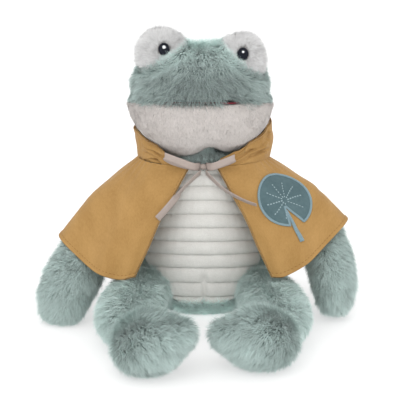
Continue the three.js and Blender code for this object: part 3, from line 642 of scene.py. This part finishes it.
def shape_muzzle(co):
    """Fills the cheeks, lowers the chin on the right and leaves a dip over the neck."""
    x, y, z = co.T
    chin = 2 + 4.8 * bump(x, -26, 20) - 6.8 * bump(x, 6, 11)
    return co + xyz((x + 1) * 0.035 * ramp((z - 158) / 20), 0, -chin * ramp((180 - z) / 16))


def crown_comb(roots, up):
    """The head's pile falls from the top, outwards and down over the brow, and up against the eyes."""
    x, y, _ = (roots - whorl).T
    near, to_eye = eye_distance(roots)
    share = (bump(near, 0, 4.5) * (roots[:, 1] < -4))[:, None]
    return unit(xyz(x * 0.9, y * 0.5, -30)) * (1 - share) + 1.8 * share * to_eye


def round_the_eyes(roots, up):
    """The crown's pile stops where the eyes are sewn on, and is thin in the hood and behind."""
    in_hood = (roots[:, 2] < 186) | (up[:, 2] < -0.6)
    share = np.where(in_hood, 0.15, np.where(roots[:, 1] > 10, 0.62, 0.92))
    return (eye_distance(roots)[0] > 0.8) & thin_out(share)


def brow_length(roots):
    """The crown's pile is short at the eyes and over the gap in the lips, a little longer over the rest of
    the lip, and trimmed at the sides of the smile.
    """
    x, y, z = roots.T
    low = ramp((228 - z) / 10)
    at_cheeks = low * ramp((np.abs(x - head_middle) - 44) / 16)
    over_lip = low * (1 - lip_gap(x)) * (1 - at_cheeks)
    at_eyes = np.clip(0.55 + eye_distance(roots)[0] / 18, 0.55, 1)
    return at_eyes * (1 - 0.4 * at_cheeks) * (1 - 0.55 * low * lip_gap(x)) * (1 + 0.12 * over_lip)


# Painted light on the crown's pile: lighter on top, where the light from above falls, and towards the sides,
# where the light rims the head; darker on the brow.
def crown_painted_light(roots):
    x, y, z = roots.T
    return -0.5 + 2.0 * ramp((z - 234) / 26) + 0.8 * ramp(np.abs(x - head_middle) / 66) ** 2


def in_sight(roots, up):
    """The muzzle's pile is thin on its top, inside the mouth, and on its back, inside the hood."""
    return thin_out(np.where((up[:, 2] > 0.75) | (roots[:, 1] > 0), 0.1, 1))


def speckled(dye, size, low, high):
    """Soft patches of two colours."""
    return {"Base Color": dye.noise(size).blend(low, high)}


reshape(crown_skin, shape_crown)
muzzle_skin = stuffed_skin("muzzle_plush", "head", "muzzle", 1.0, cream_plush, ["head_crown"], rounds=4)
reshape(muzzle_skin, shape_muzzle)
# The crown's pale is painted light: lighter on top and at the sides, darker on the brow.
crown_pile = grow_pile(crown_skin, 51, 10, 2.9, crown_comb, round_the_eyes, brow_length, lean=0.82,
                       pale=crown_painted_light, uneven=1.3)
muzzle_pile = grow_pile(muzzle_skin, 52, 3.4, 3.3, combed(0.1, 0, -1), in_sight, lean=1.1, thick=0.65,
                        curl=0.1, gather=0.05, uneven=0.4)
mouth_cloth = finish("mouth_cloth", 0.8, 0.1, speckled, 2 * MM, (96, 20, 34), (132, 42, 56))
lining = stuffed_skin("mouth_lining_cloth", "head", "mouth_lining", 0, mouth_cloth, grain=0.7, rounds=2)
reshape(lining, lambda co: co + [0, 3, 0] * ramp(1 - 1.6 * lip_gap(co[:, :1])))

# Eyes: a ball of cream plush sewn on each side of the crown, with a navy pupil embroidered on its front
# and a white glint stitched on the pupil.
pupil_reach = np.array([5.6, 9, 6.3])
# The first colour, at the roots, is darker partly with painted shade among the strands.
mound_plush = finish("long_cream_plush", 0.85, 0.25, pile_paint,
                     (208, 206, 205), (216, 215, 214), (226, 226, 226), 0.06, slot="cream_plush")


def thread_paint(dye, low, high, stitch):
    """Satin stitch: close parallel threads across the piece."""
    place = dye.node("TexCoord", out="Object")
    threads = dye.node("TexWave", {"bands_direction": "DIAGONAL"},
                       {"Vector": place, "Scale": 0.5 / stitch, "Distortion": 0.6, "Detail": 1.0})
    return {"Base Color": threads.blend(low, high), "Relief": (threads, 0.15 * MM)}


def mound_length(roots):
    return np.random.default_rng(60).uniform(0.55, 1.3, len(roots))


navy_thread = finish("navy_thread", 0.45, 0.0, thread_paint, (8, 10, 18), (24, 28, 42), 0.5 * MM)
white_thread = finish("white_thread", 0.5, 0.0, thread_paint, (225, 226, 228), (250, 250, 250), 0.5 * MM)
for side, sign in both_sides:
    mound, pupil, glint = "eye_mound_" + side, "eye_" + side, "eye_glint_" + side
    mound_skin = stuffed_skin(mound + "_plush", "head", mound, 2.4, mound_plush, ["head_crown"], grain=1.6)
    pupil_middle = np.array(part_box(pupil)).sum(0) / 2 / MM
    past_pupil = pupil_middle[0] + 4
    if side == "left":
        reshape(mound_skin, lambda co: np.where(
            [True, False, False], np.minimum(co, past_pupil + (co - past_pupil) * 0.8), co))

    def off_the_pupil(roots, up):
        away = np.linalg.norm((roots - pupil_middle) / pupil_reach, axis=1)
        return (away > 1.02) & (up[:, 2] > -0.8)

    def mound_comb(roots, up):
        """Outwards from the pupil, in a slight whirl."""
        x, _, z = (roots - pupil_middle).T
        return xyz(x + 0.4 * z, 0, z - 0.4 * x)

    grow_pile(mound_skin, 61 + sign, 5.6, 8, mound_comb, off_the_pupil, mound_length, lean=0.42, curl=0.1,
              gather=0.05, thick=0.45, uneven=0.7)
    for node, thread in ((pupil, navy_thread), (glint, white_thread)):
        stuffed_skin(node + "_stitched", "head", node, 0, thread, grain=0.5, rounds=3)

# Cape: two halves of mustard cotton, sewn up the middle of the back and open in front. A row of top
# stitches holds the hem in front and below. Each half lies on a shoulder.
cape_neck_width, cape_neck_depth, cape_neck_level, neck_set_back = 124, 90, 149.5, 2
cape_spread, cape_reach, cape_drop = 276, 98, 98
cape_neck_turn_shares = [0.064, 0.189, 0.31, 0.43, 0.55, 0.69, 0.845, 1]
cape_hem_out_shares = [0.46, 0.56, 0.73, 0.97, 1, 0.86, 0.52, 0]
cape_hem_forward_shares = [0.9, 0.92, 0.8, 0.44, 0.06, -0.38, -0.68, -0.76]
cape_hem_drop_shares = [0.98, 1, 0.97, 0.78, 0.74, 0.82, 0.9, 0.92]
cape_side_lift = {1: 17, -1: 0}
cape_slope, neck_run, hem_run = 112, 150, 340
cotton_thickness, cotton_lift, hem_width = 1.3, 0.5, 4
cape_columns, cape_rows = 200, 90
blend_from, blend_to, wave_band = 42, 108, 0.314


def cape_point(sign, across, down, grow):
    """A point of half the cape, in mm: across from the front edge to the back seam, down to the hem."""
    turn = pi * read_shares(cape_neck_turn_shares, across)
    neck = xyz(sign * cape_neck_width / 2 * np.sin(turn), -neck_set_back - cape_neck_depth / 2 * np.cos(turn),
               cape_neck_level)
    raised = cape_side_lift[sign] * np.sin(pi * np.minimum(1.1 * across, 1)) ** 2
    hem = xyz(sign * cape_spread / 2 * read_shares(cape_hem_out_shares, across),
              -cape_reach * read_shares(cape_hem_forward_shares, across),
              cape_neck_level - cape_drop * read_shares(cape_hem_drop_shares, across) + raised)
    outward = unit(xyz(hem[..., 0], hem[..., 1] + 0.17 * cape_reach, 0))
    outward = unit(outward + [0, 0, 0.75])
    fullness, hang = np.sin(pi * across), np.sin(pi * down)
    swell = 5 * (0.4 + 0.6 * fullness) * hang
    fold = 2.2 * down * fullness * np.sin(10 * pi * across)
    gather = 0.5 * (1 - down) ** 4 * fullness * np.sin(30 * pi * across + 2 * np.sin(17 * across) + 3 * down)
    ease = 0.8 * np.sin(9 * across + 5 * down) * hang + 0.8 * np.sin(13 * across - 11 * down + 1) * hang**2
    ease = ease - 1.1 * bump(down - 0.6, 0.1 * np.sin(6 * across), 0.05) * fullness
    down = np.asarray(down)[..., None]
    return neck + (hem - neck) * down + outward * (swell + fold + gather + ease + grow)[..., None]


def cape_surface(sign, across, down, inner=False):
    """The cape's cloth, with its hem turned up and a furrow under the top stitches."""
    edge = np.minimum((1 - down) * cape_slope, across * (neck_run + (hem_run - neck_run) * down))
    hem = 0.7 / (1 + np.exp((edge - hem_width - 0.6) / 0.35))
    furrow = 0.9 * bump(edge, hem_width, 0.8)
    lift = 0 * edge if inner else cotton_thickness + hem - furrow
    return cape_point(sign, across, down, cotton_lift + lift)


def cape_line(sign, across, down, step=0.002):
    """Points along a path on the cape's face, with the directions out of it."""
    here = cape_surface(sign, across, down)
    ahead = cape_surface(sign, np.minimum(across + step, 1), down) - cape_surface(sign, across - step, down)
    below = cape_surface(sign, across, np.minimum(down + step, 1)) - cape_surface(sign, across, down - step)
    return here, unit(sign * np.cross(below, ahead))


def run_of(line):
    """How far along a line each of its points lies."""
    return np.concatenate([[0], np.cumsum(np.linalg.norm(np.diff(line, axis=0), axis=1))])


def read_line(at, run, line):
    """The points of a line, or its directions, at some distances along it."""
    return np.stack([np.interp(at, run, line[:, i]) for i in range(3)], 1)


def stitch_row(points, normals, long=2.6, gap=1.3, half_width=0.5, high=0.4):
    """A row of stitches along a line of points: each is a short rounded thread between two needle holes."""
    run = run_of(points)
    made = []
    for start in np.arange(0.5, run[-1] - long, long + gap):
        t = np.linspace(start, start + long, 5)
        line, lift = read_line(t, run, points), read_line(t, run, normals)
        aside = unit(np.cross(np.gradient(line, axis=0), lift)) * half_width
        rise = np.sin(np.linspace(0.15, pi - 0.15, 5))[:, None] * lift * high
        made.append((np.stack([line - aside, line + rise, line + aside], 1).reshape(-1, 3), grid_faces(5, 3)))
    return together(made)


def weave_paint(dye, low, high, yarn, shade_patches):
    """Plain weave: two sets of yarns that pass over and under each other, a little uneven."""
    cut = dye.node("UVMap", {"uv_map": "cut"})
    yarns = {"Vector": cut, "Scale": wave_band / yarn, "Distortion": 1.2, "Detail": 2.0, "Detail Scale": 1.0}
    warp, weft = (dye.node("TexWave", {"bands_direction": way}, yarns) for way in "XY")
    slub = dye.noise(5 * yarn, 3, cut)
    thread = warp * 0.5 + weft * 0.5
    tone = thread * 0.35 + slub * 0.4 + (dye.noise(30 * MM, place=cut) - 0.5) * shade_patches + 0.12
    return {"Base Color": tone.blend(low, high), "Relief": (thread * 0.6 + slub * 0.4, 0.12 * MM)}


def follow_arm(piece):
    """Bakes a piece's place into its points; the piece is tied to no body."""
    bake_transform(piece)


mustard_cotton = finish("mustard_cotton", 0.85, 0.1, weave_paint,
                        (136, 100, 50), (191, 152, 96), 0.5 * MM, 0.6)
mustard_thread = finish("mustard_thread", 0.7, 0.1, speckled, 1 * MM, (112, 77, 35), (154, 113, 60),
                        slot="mustard_cotton")
across, down = np.meshgrid(np.linspace(0, 1, cape_columns + 1), np.linspace(0, 1, cape_rows + 1))
cape_cut = np.tile(np.stack([across * (0.15 + 0.2 * down), down * 0.11], -1).reshape(-1, 2), (2, 1))
hem_down = 1 - hem_width / cape_slope
hem_across = np.linspace(hem_width / hem_run, 0.995, 400)
front_down = np.linspace(0.06, hem_down, 120)
front_across = hem_width / (neck_run + (hem_run - neck_run) * front_down)
cape_halves = []
for side, sign in both_sides:
    face, back = cape_surface(sign, across, down), cape_surface(sign, across, down, inner=True)
    for layer in (face, back):
        layer[..., 0] = sign * np.maximum(sign * layer[..., 0], 0.15)
    points, faces = closed_sheet(face, back)
    half = sew("cape_" + side + "_cotton", None, points, [f[::sign] for f in faces], mustard_cotton,
               cape_cut, "cape_" + side)
    rows = [stitch_row(*cape_line(sign, *path))
            for path in ((hem_across, np.full_like(hem_across, hem_down)), (front_across, front_down))]
    stitches = sew("cape_" + side + "_top_stitches", None, *together(rows), mustard_thread)
    follow_arm(stitches)
    follow_arm(half)
    cape_halves.append(half)

# Hood: mustard cotton sewn to the neck of the cape and folded down. Behind the head it is a deep pouch that
# is open at the top, and it narrows along the cheeks to the ribbon in front.
hood_front, hood_height, hood_lean, hood_flare, hood_pouch, hood_droop = radians(26), 33, 0.12, 8, 17, 9
hood_overhang = radians(11)
hood_height_shares = [0.4, 0.5, 0.86, 1, 1, 0.98]
hood_flare_shares = [0.1, 0.4, 0.9, 1, 1.3, 1.5]
hood_thickness_shares = [0.16, 0.18, 0.22, 0.4, 0.86, 1]
hood_base = cape_neck_level + 0.3
hood_outline_shares = [
    [0, 0, 0, 0], [0.45, 0, 0.5, 0], [1, 0, 0.96, 0], [1, 0.1, 1, 0], [1, 0.3, 0.8, 0], [1, 0.5, 0.62, 0],
    [1, 0.72, 0.8, 0], [1, 0.92, 0.96, 0], [1, 1.06, 0.84, 0], [0.85, 1.15, 0.4, 0.4], [0.3, 1.1, 0.04, 1],
    [0, 0.5, 0.02, 0]]
hood_columns, hood_sides = 261, 220
hood_turns = np.linspace(hood_front, 2 * pi - hood_front + hood_overhang, hood_columns)
hood_creases = [
    ([(276, 172), (305, 164.5), (332, 157)], 5, 1.8), ([(302, 171.5), (318, 166), (334, 161)], 3.5, 1.5),
    ([(290, 159.5), (312, 157), (330, 152.5)], 3.8, 1.5), ([(50, 163), (57, 165)], 5, 2.2),
    ([(36, 151.5), (50, 154), (64, 156.5)], 4.2, 1.7), ([(38, 157), (52, 161.5), (60, 166)], 3.5, 1.5),
    ([(258, 166), (288, 166)], -3.0, 12)]
room_for_pile, cloth_room, shortest = 2.6, 1 * MM, 0.12


def cheek_share(turn):
    """How far a place round the neck belongs to the front and the cheeks: 1 there and 0 behind the head."""
    return float(ramp((abs(pi - turn) - radians(55)) / radians(45)))


def hood_outline(turn, outline):
    """The hood's outline at one place round the neck, in mm, with the opening of the pouch behind."""
    back = abs(pi - turn) / (pi - hood_front)
    height = hood_height * read_shares(hood_height_shares, 1 - back) * (1 - hood_lean * sin(turn))
    to_end = min(turn - hood_front, 2 * pi - hood_front + hood_overhang - turn)
    height *= 0.6 + 0.4 * ramp(to_end / radians(13))
    flare = hood_flare * read_shares(hood_flare_shares, 1 - back)
    thick = hood_pouch * read_shares(hood_thickness_shares, 1 - back) * (1 - 0.6 * cheek_share(turn))
    dip = (1 - outline[:, 2]) * ((outline[:, 0] == 1) & (outline[:, 1] > 0.2) & (outline[:, 1] < 0.8))
    up = outline[:, 2] + dip * (1 - min(thick / hood_pouch, 1) ** 0.5)
    out = outline[:, 0] * flare + outline[:, 1] * thick
    return xyz(-sin(turn) * (cape_neck_width / 2 + out),
               -neck_set_back - cos(turn) * (cape_neck_depth / 2 + out),
               hood_base + up * height - outline[:, 3] * hood_droop * (1 - back) ** 2)


def closed_curve(points, count):
    """A smooth closed curve through some points, as count points."""
    place = np.arange(count) / count * len(points)
    low = place.astype(int)
    return spline(*(points[(low + i) % len(points)] for i in (-1, 0, 1, 2)), (place - low)[:, None])


def tube_faces(rows, sides):
    """The quads of a tube that is laid ring by ring, and its two ends."""
    ends = [list(range(sides - 1, -1, -1)), list(range((rows - 1) * sides, rows * sides))]
    return grid_faces(rows, sides, wrap=True).tolist() + ends


head_tree = tree_of(crown_skin, muzzle_skin)
hood_rings = []
rise = np.linspace(0, 1, 9)
for turn in hood_turns:
    ring = closed_curve(hood_outline(turn, np.array(hood_outline_shares)), hood_sides)
    inner = hood_outline(turn, np.stack([rise, 0 * rise, rise, 0 * rise], 1))
    cheek, bearing = cheek_share(turn), degrees(turn)
    at_chin = ramp((abs(pi - turn) - radians(132)) / radians(16))
    near, away = zip(*(head_tree.find_nearest(Vector(point) * MM)[::3] for point in inner))
    away = np.array(away) / MM
    push = np.array(near) / MM - inner
    push[:, 2] = np.maximum(push[:, 2], 0)
    push *= (np.maximum(away - room_for_pile, 0) / np.maximum(away, 0.1) * np.minimum(rise / 0.6, 1))[:, None]
    height = (ring[:, 2] - inner[0, 2]) / max(inner[-1, 2] - inner[0, 2], 1)
    ring += read_line(height, rise, push * cheek * (1 - at_chin))
    outward = np.array([-sin(turn), -cos(turn)])
    outer = (ring[:, :2] - ring[:, :2].mean(0)) @ outward > 0
    drawn_in = cheek * (4 if turn < pi else 1.5) * ramp(1 - height / 0.75) * outer
    ring[:, :2] -= drawn_in[:, None] * outward
    for crease, depth, width in hood_creases:
        along, level = np.array(crease, float).T
        past = max(along[0] - bearing, bearing - along[-1], 0) / 8
        off = (ring[:, 2] - np.interp(bearing, along, level)) / width
        dent = depth * (bump(off, 0, 1) - 0.35 * bump(off, 2, 1) - 0.1 * bump(off, -2, 1)) * bump(past, 0, 1)
        ring[:, :2] -= np.where(outer, dent, 0)[:, None] * outward
    slack = (1 - cheek) * np.sin(pi * ramp(height)) * outer
    wave = 1.3 * np.sin(6 * turn + 3 * height) + 0.8 * np.sin(11 * turn - 4 * height)
    ring[:, :2] += (wave * slack - 1.1 * bump(turn, pi, 0.025) * outer)[:, None] * outward
    hood_rings.append(ring)
hood_spread = np.stack(np.meshgrid(np.linspace(0, 0.13, hood_sides), np.linspace(0, 0.42, hood_columns)), -1)
hood_skin = sew("hood_cotton", "torso", hood_rings, tube_faces(hood_columns, hood_sides), mustard_cotton,
                hood_spread, "hood")


def press_pile(piles, cloths):
    """Lays down the strands that would stand through a cloth: each ends just short of it."""
    tree = tree_of(*cloths)
    for pile in piles:
        co = numbers_of(pile.data.vertices, "co").reshape(-1, 5, 3)
        roots = co[:, :2].mean(1)
        ways = co[:, 4] - roots
        reach = np.linalg.norm(ways, axis=1)
        for i, (root, way, long) in enumerate(zip(roots.tolist(), ways.tolist(), reach.tolist())):
            far = tree.ray_cast(root, way, long + cloth_room)[3]
            if far is not None:
                co[i, 2:] = root + (co[i, 2:] - root) * max((far - cloth_room) / long, shortest)
        pile.data.vertices.foreach_set("co", co.ravel())


press_pile([torso_pile, neck_tuft, crown_pile, muzzle_pile] + arm_piles, [hood_skin] + cape_halves)

# Leaf: a round lily pad of teal cloth with a notch, sewn flat on the left half of the cape. Satin stitch
# binds its edge, dashed stitches mark its veins, and its stem is embroidered on the cape.
leaf_width, leaf_height, leaf_border = 52, 54, 2
leaf_notch, leaf_turn = radians(18), radians(3.5)
notch_tip = np.array([-4.4, -6.3])
leaf_across, leaf_down = 0.301, 0.418
stem_length, stem_width, stem_turn = 39, 5, radians(4.5)
vein_turns, vein_start, vein_end, vein_middle = [-38, 0, 34, 68, 104, 140, 176, 212, 246], 2.5, 21.5, -1.5
cloth_top, pad_low, pad_high, satin_rise = 2, 0.15, 1.0, 0.75


def leaf_map():
    """The cape's surface round the middle of the leaf, as a flat map of it: out along it and up along it."""
    step = 0.01
    surface = lambda across, down, grow=0: cape_point(1, across, down, cloth_top + grow)
    slopes = lambda across, down: (surface(across + step, down) - surface(across - step, down),
                                   surface(across, down + step) - surface(across, down - step))
    middle = np.array([leaf_across]), np.array([leaf_down])
    home = surface(*middle)[0]
    by_across, by_down = slopes(*middle)
    outward = unit(np.cross(by_across, by_down))[0]
    outward *= -np.sign(outward[1])
    up = np.array([0, 0, 1]) - outward * outward[2]
    up /= np.linalg.norm(up)
    out = -np.cross(outward, up)

    def place(x, y, grow):
        x, y, grow = np.broadcast_arrays(np.asarray(x, float), y, grow)
        across, down = np.full(x.shape, leaf_across), np.full(x.shape, leaf_down)
        for _ in range(6):
            miss = surface(across, down) - home
            dx, dy = x - miss @ out, y - miss @ up
            a, d = slopes(across, down)
            det = (a @ out) * (d @ up) - (a @ up) * (d @ out)
            across = across + 2 * step * (dx * (d @ up) - dy * (d @ out)) / det
            down = down + 2 * step * (dy * (a @ out) - dx * (a @ up)) / det
        return surface(across, down, grow)

    return place


def leaf_edge(share, grow=0.0):
    """The pad's outline in its own plane, from one side of the notch round to the other."""
    turn = leaf_notch + share * 2 * (pi - leaf_notch) - pi / 2 + leaf_turn
    return (leaf_width / 2 + grow) * np.cos(turn), (leaf_height / 2 + grow) * np.sin(turn)


def satin_band(name, line, half_width, node, sides=12):
    """A raised band of satin stitch along a line in the leaf's plane, on top of the cloth."""
    aside = np.gradient(line, axis=0)
    aside = unit(np.stack([-aside[:, 1], aside[:, 0]], -1))
    around = np.linspace(0, 2 * pi, sides, endpoint=False)
    ridges = 1 + 0.08 * np.sin(np.arange(len(line)) * pi / 1.5)
    reach = (half_width * ridges)[:, None] * np.cos(around)
    place = line[:, None, :] + aside[:, None, :] * reach[:, :, None]
    points = on_cape(place[..., 0], place[..., 1], satin_rise * (1 + np.sin(around) * ridges[:, None]))
    return sew(name, None, points, tube_faces(len(line), sides), leaf_thread, node=node)


on_cape = leaf_map()
leaf_cloth = finish("leaf_cloth", 0.9, 0.1, weave_paint, (44, 66, 72), (104, 126, 130), 0.8 * MM, 0.5)
leaf_thread = finish("leaf_thread", 0.6, 0.1, thread_paint,
                     (104, 130, 138), (148, 170, 178), 0.6 * MM, slot="thread")
vein_thread = finish("vein_thread", 0.6, 0.1, thread_paint,
                     (140, 162, 168), (178, 196, 200), 0.6 * MM, slot="thread")
spokes, rings = np.meshgrid(np.linspace(0, 1, 121), np.linspace(0.002, 1, 30))
pad_x, pad_y = (tip + (edge - tip) * rings for tip, edge in zip(notch_tip, leaf_edge(spokes)))
pad_layers = on_cape(pad_x, pad_y, pad_high - 0.3 * rings**12), on_cape(pad_x, pad_y, pad_low)
pad_spread = np.tile(np.stack([pad_x, pad_y], -1).reshape(-1, 2) * MM, (2, 1))
pad = sew("leaf_pad", None, *closed_sheet(*pad_layers), leaf_cloth, pad_spread, "leaf_patch")

edge_line = np.stack(leaf_edge(np.linspace(0, 1, 260), leaf_border / 2), -1)
notch_sides = [notch_tip + np.outer(np.linspace(0.05, 1, 60), end - notch_tip) for end in edge_line[[0, -1]]]
border_line = np.concatenate([notch_sides[0][:-1], edge_line, notch_sides[1][::-1][1:]])
border_half_width = np.full(len(border_line), leaf_border / 2 + 0.1)
border = satin_band("leaf_satin_edge", border_line, border_half_width, "leaf_border")
stem_share = np.linspace(0, 1, 90)
stem_reach = stem_length * (0.14 + 0.86 * stem_share)
stem_line = notch_tip + stem_reach[:, None] * np.array([sin(stem_turn), -cos(stem_turn)])
stem = satin_band("leaf_satin_stem", stem_line, stem_width / 2 * (0.45 + 0.55 * stem_share), "leaf_stem")

vein_rows = []
reach = np.linspace(vein_start, vein_end, 40)
for vein_turn in vein_turns:
    turn = radians(vein_turn) + leaf_turn + 0.05 * np.sin(reach / 22 * pi)
    x, y = reach * np.cos(turn) + vein_middle, reach * np.sin(turn) + vein_middle
    on_pad = on_cape(x, y, pad_high)
    vein_rows.append(stitch_row(on_pad, unit(on_cape(x, y, pad_high + 1) - on_pad), 1.7, 1.3, 0.6, 0.6))
veins = sew("leaf_vein_stitches", None, *together(vein_rows), vein_thread)
for piece in (pad, border, stem, veins):
    follow_arm(piece)

# Bow: a flat woven ribbon is tied between the front ends of the hood, in a knot with two flat loops and
# two loose tails that lie on the chest and the cape. The tails end in plain cuts.
ribbon_width, ribbon_thickness, ribbon_edge, ribbon_yarn = 7, 0.7, 0.3, 0.45 * MM
knot_middle = np.array([0, -43.5, 149.5])
knot_half_width, knot_half_depth, knot_half_height, knot_rows, knot_sides = 3.6, 3.9, 2.9, 17, 24
loop_steps, loop_gap, loop_ahead, loop_start = 61, 4.2, 8.5, 3.0
loop_sizes = {"left": (26.5, 10.5, 1.5), "right": (33, 12.5, 3)}
tail_turn, tail_count = radians(62), 60
tail_steps = {
    "left": [[2.5, -3, -4.9], [9, -10.5, -10], [19, -17.5, -17.5], [30, -19.1, -24], [40, -21.3, -28.5],
             [50, -24, -31.5]],
    "right": [[-2.5, -3, -4.9], [-10, -12.5, -9.5], [-19, -19, -17], [-27, -21.7, -26.5], [-35, -24.8, -35.5],
              [-43, -28.8, -43.5]]}


def ribbon_paint(dye):
    cut = dye.node("UVMap", {"uv_map": "cut"})
    twill = dye.node("TexWave", {"bands_direction": "DIAGONAL"},
                     {"Vector": cut, "Scale": wave_band / ribbon_yarn})
    tone = twill * 0.5 + dye.noise(6 * MM, place=cut) * 0.5
    return {"Base Color": tone.blend((150, 136, 128), (184, 170, 163)), "Relief": (twill, 0.08 * MM)}


def open_curve(points, count):
    """A smooth curve through some points, as count evenly spaced points."""
    place = np.linspace(0, 1, 40 * len(points))
    line = np.stack([read_shares(values, place) for values in points.T], 1)
    run = run_of(line)
    return read_line(np.linspace(0, run[-1], count), run, line)


def ribbon_strip(node, line, across):
    """A flat ribbon along a line of points in mm: across is the direction of its width at each point."""
    across = unit(across)
    along = unit(np.gradient(line, axis=0))
    across = unit(across - along * (across * along).sum(1, keepdims=True))
    normal = np.cross(along, across)
    w, t = ribbon_width / 2, ribbon_thickness / 2
    under = [(-w, 0), (-w + ribbon_edge, -t), (-w / 3, -t), (w / 3, -t), (w - ribbon_edge, -t)]
    profile = under + [(-a, -n) for a, n in under]
    rows = np.stack([line + across * a + normal * n for a, n in profile], 1)
    spread = np.stack(np.broadcast_arrays(run_of(line)[:, None] * MM, [a * MM for a, _ in profile]), -1)
    faces = tube_faces(len(line), len(profile))
    return sew(node + "_ribbon", "torso", rows, faces, ribbon_cloth, spread, node)


ribbon_cloth = finish("ribbon", 0.6, 0.1, ribbon_paint)
turn = np.linspace(0, 2 * pi, knot_sides, endpoint=False)
share = np.linspace(-1, 1, knot_rows)[:, None]
squeeze = np.sqrt(np.maximum(1 - share**2, 0.02)) * (1 + 0.05 * np.cos(9 * share))
folds = 1 + 0.06 * np.sin(3 * turn + 2 * share)
knot_points = knot_middle + xyz(knot_half_width * share, knot_half_depth * squeeze * np.cos(turn) * folds,
                                knot_half_height * squeeze * np.sin(turn))
knot_spread = np.stack(np.meshgrid(np.linspace(0, 0.02, knot_sides), np.linspace(0, 0.008, knot_rows)), -1)
knot = sew("bow_knot_ribbon", "torso", knot_points, tube_faces(knot_rows, knot_sides), ribbon_cloth,
           knot_spread, "bow_knot")

for side, sign in both_sides:
    reach, rise, slack = loop_sizes[side]
    turn = np.linspace(-pi / 2, pi / 2, loop_steps)
    out = reach * np.cos(turn)
    apart = np.sign(turn) * np.sqrt(np.abs(np.sin(turn))) * loop_gap / 2
    ahead = loop_ahead * np.sin(pi / 2 * np.minimum(out / (0.3 * reach), 1))
    sag = np.where(turn > 0, slack, 0) * np.sin(2 * turn)
    line = knot_middle + xyz(sign * (loop_start + out), apart - ahead, rise * out / reach - sag)
    ribbon_strip("bow_loop_" + side, line, np.tile([0.0, 0, 1], (loop_steps, 1)))
for side, sign in both_sides:
    route = open_curve(np.array(tail_steps[side]) + knot_middle, tail_count)
    untwisted = ramp(7 - 12 * np.linspace(0, 1, tail_count))
    on_edge = tail_turn * (np.ones(tail_count) if side == "left" else untwisted)
    flat, upright = np.cos(on_edge)[:, None], np.sin(on_edge)[:, None]
    route = route + upright * np.array([0, -2.4, 0.7])
    across = flat * [0.55 * sign, -0.3, 0.8] + upright * [0, -0.966, 0.259]
    tail = ribbon_strip("tie_tail_" + side, route, across)
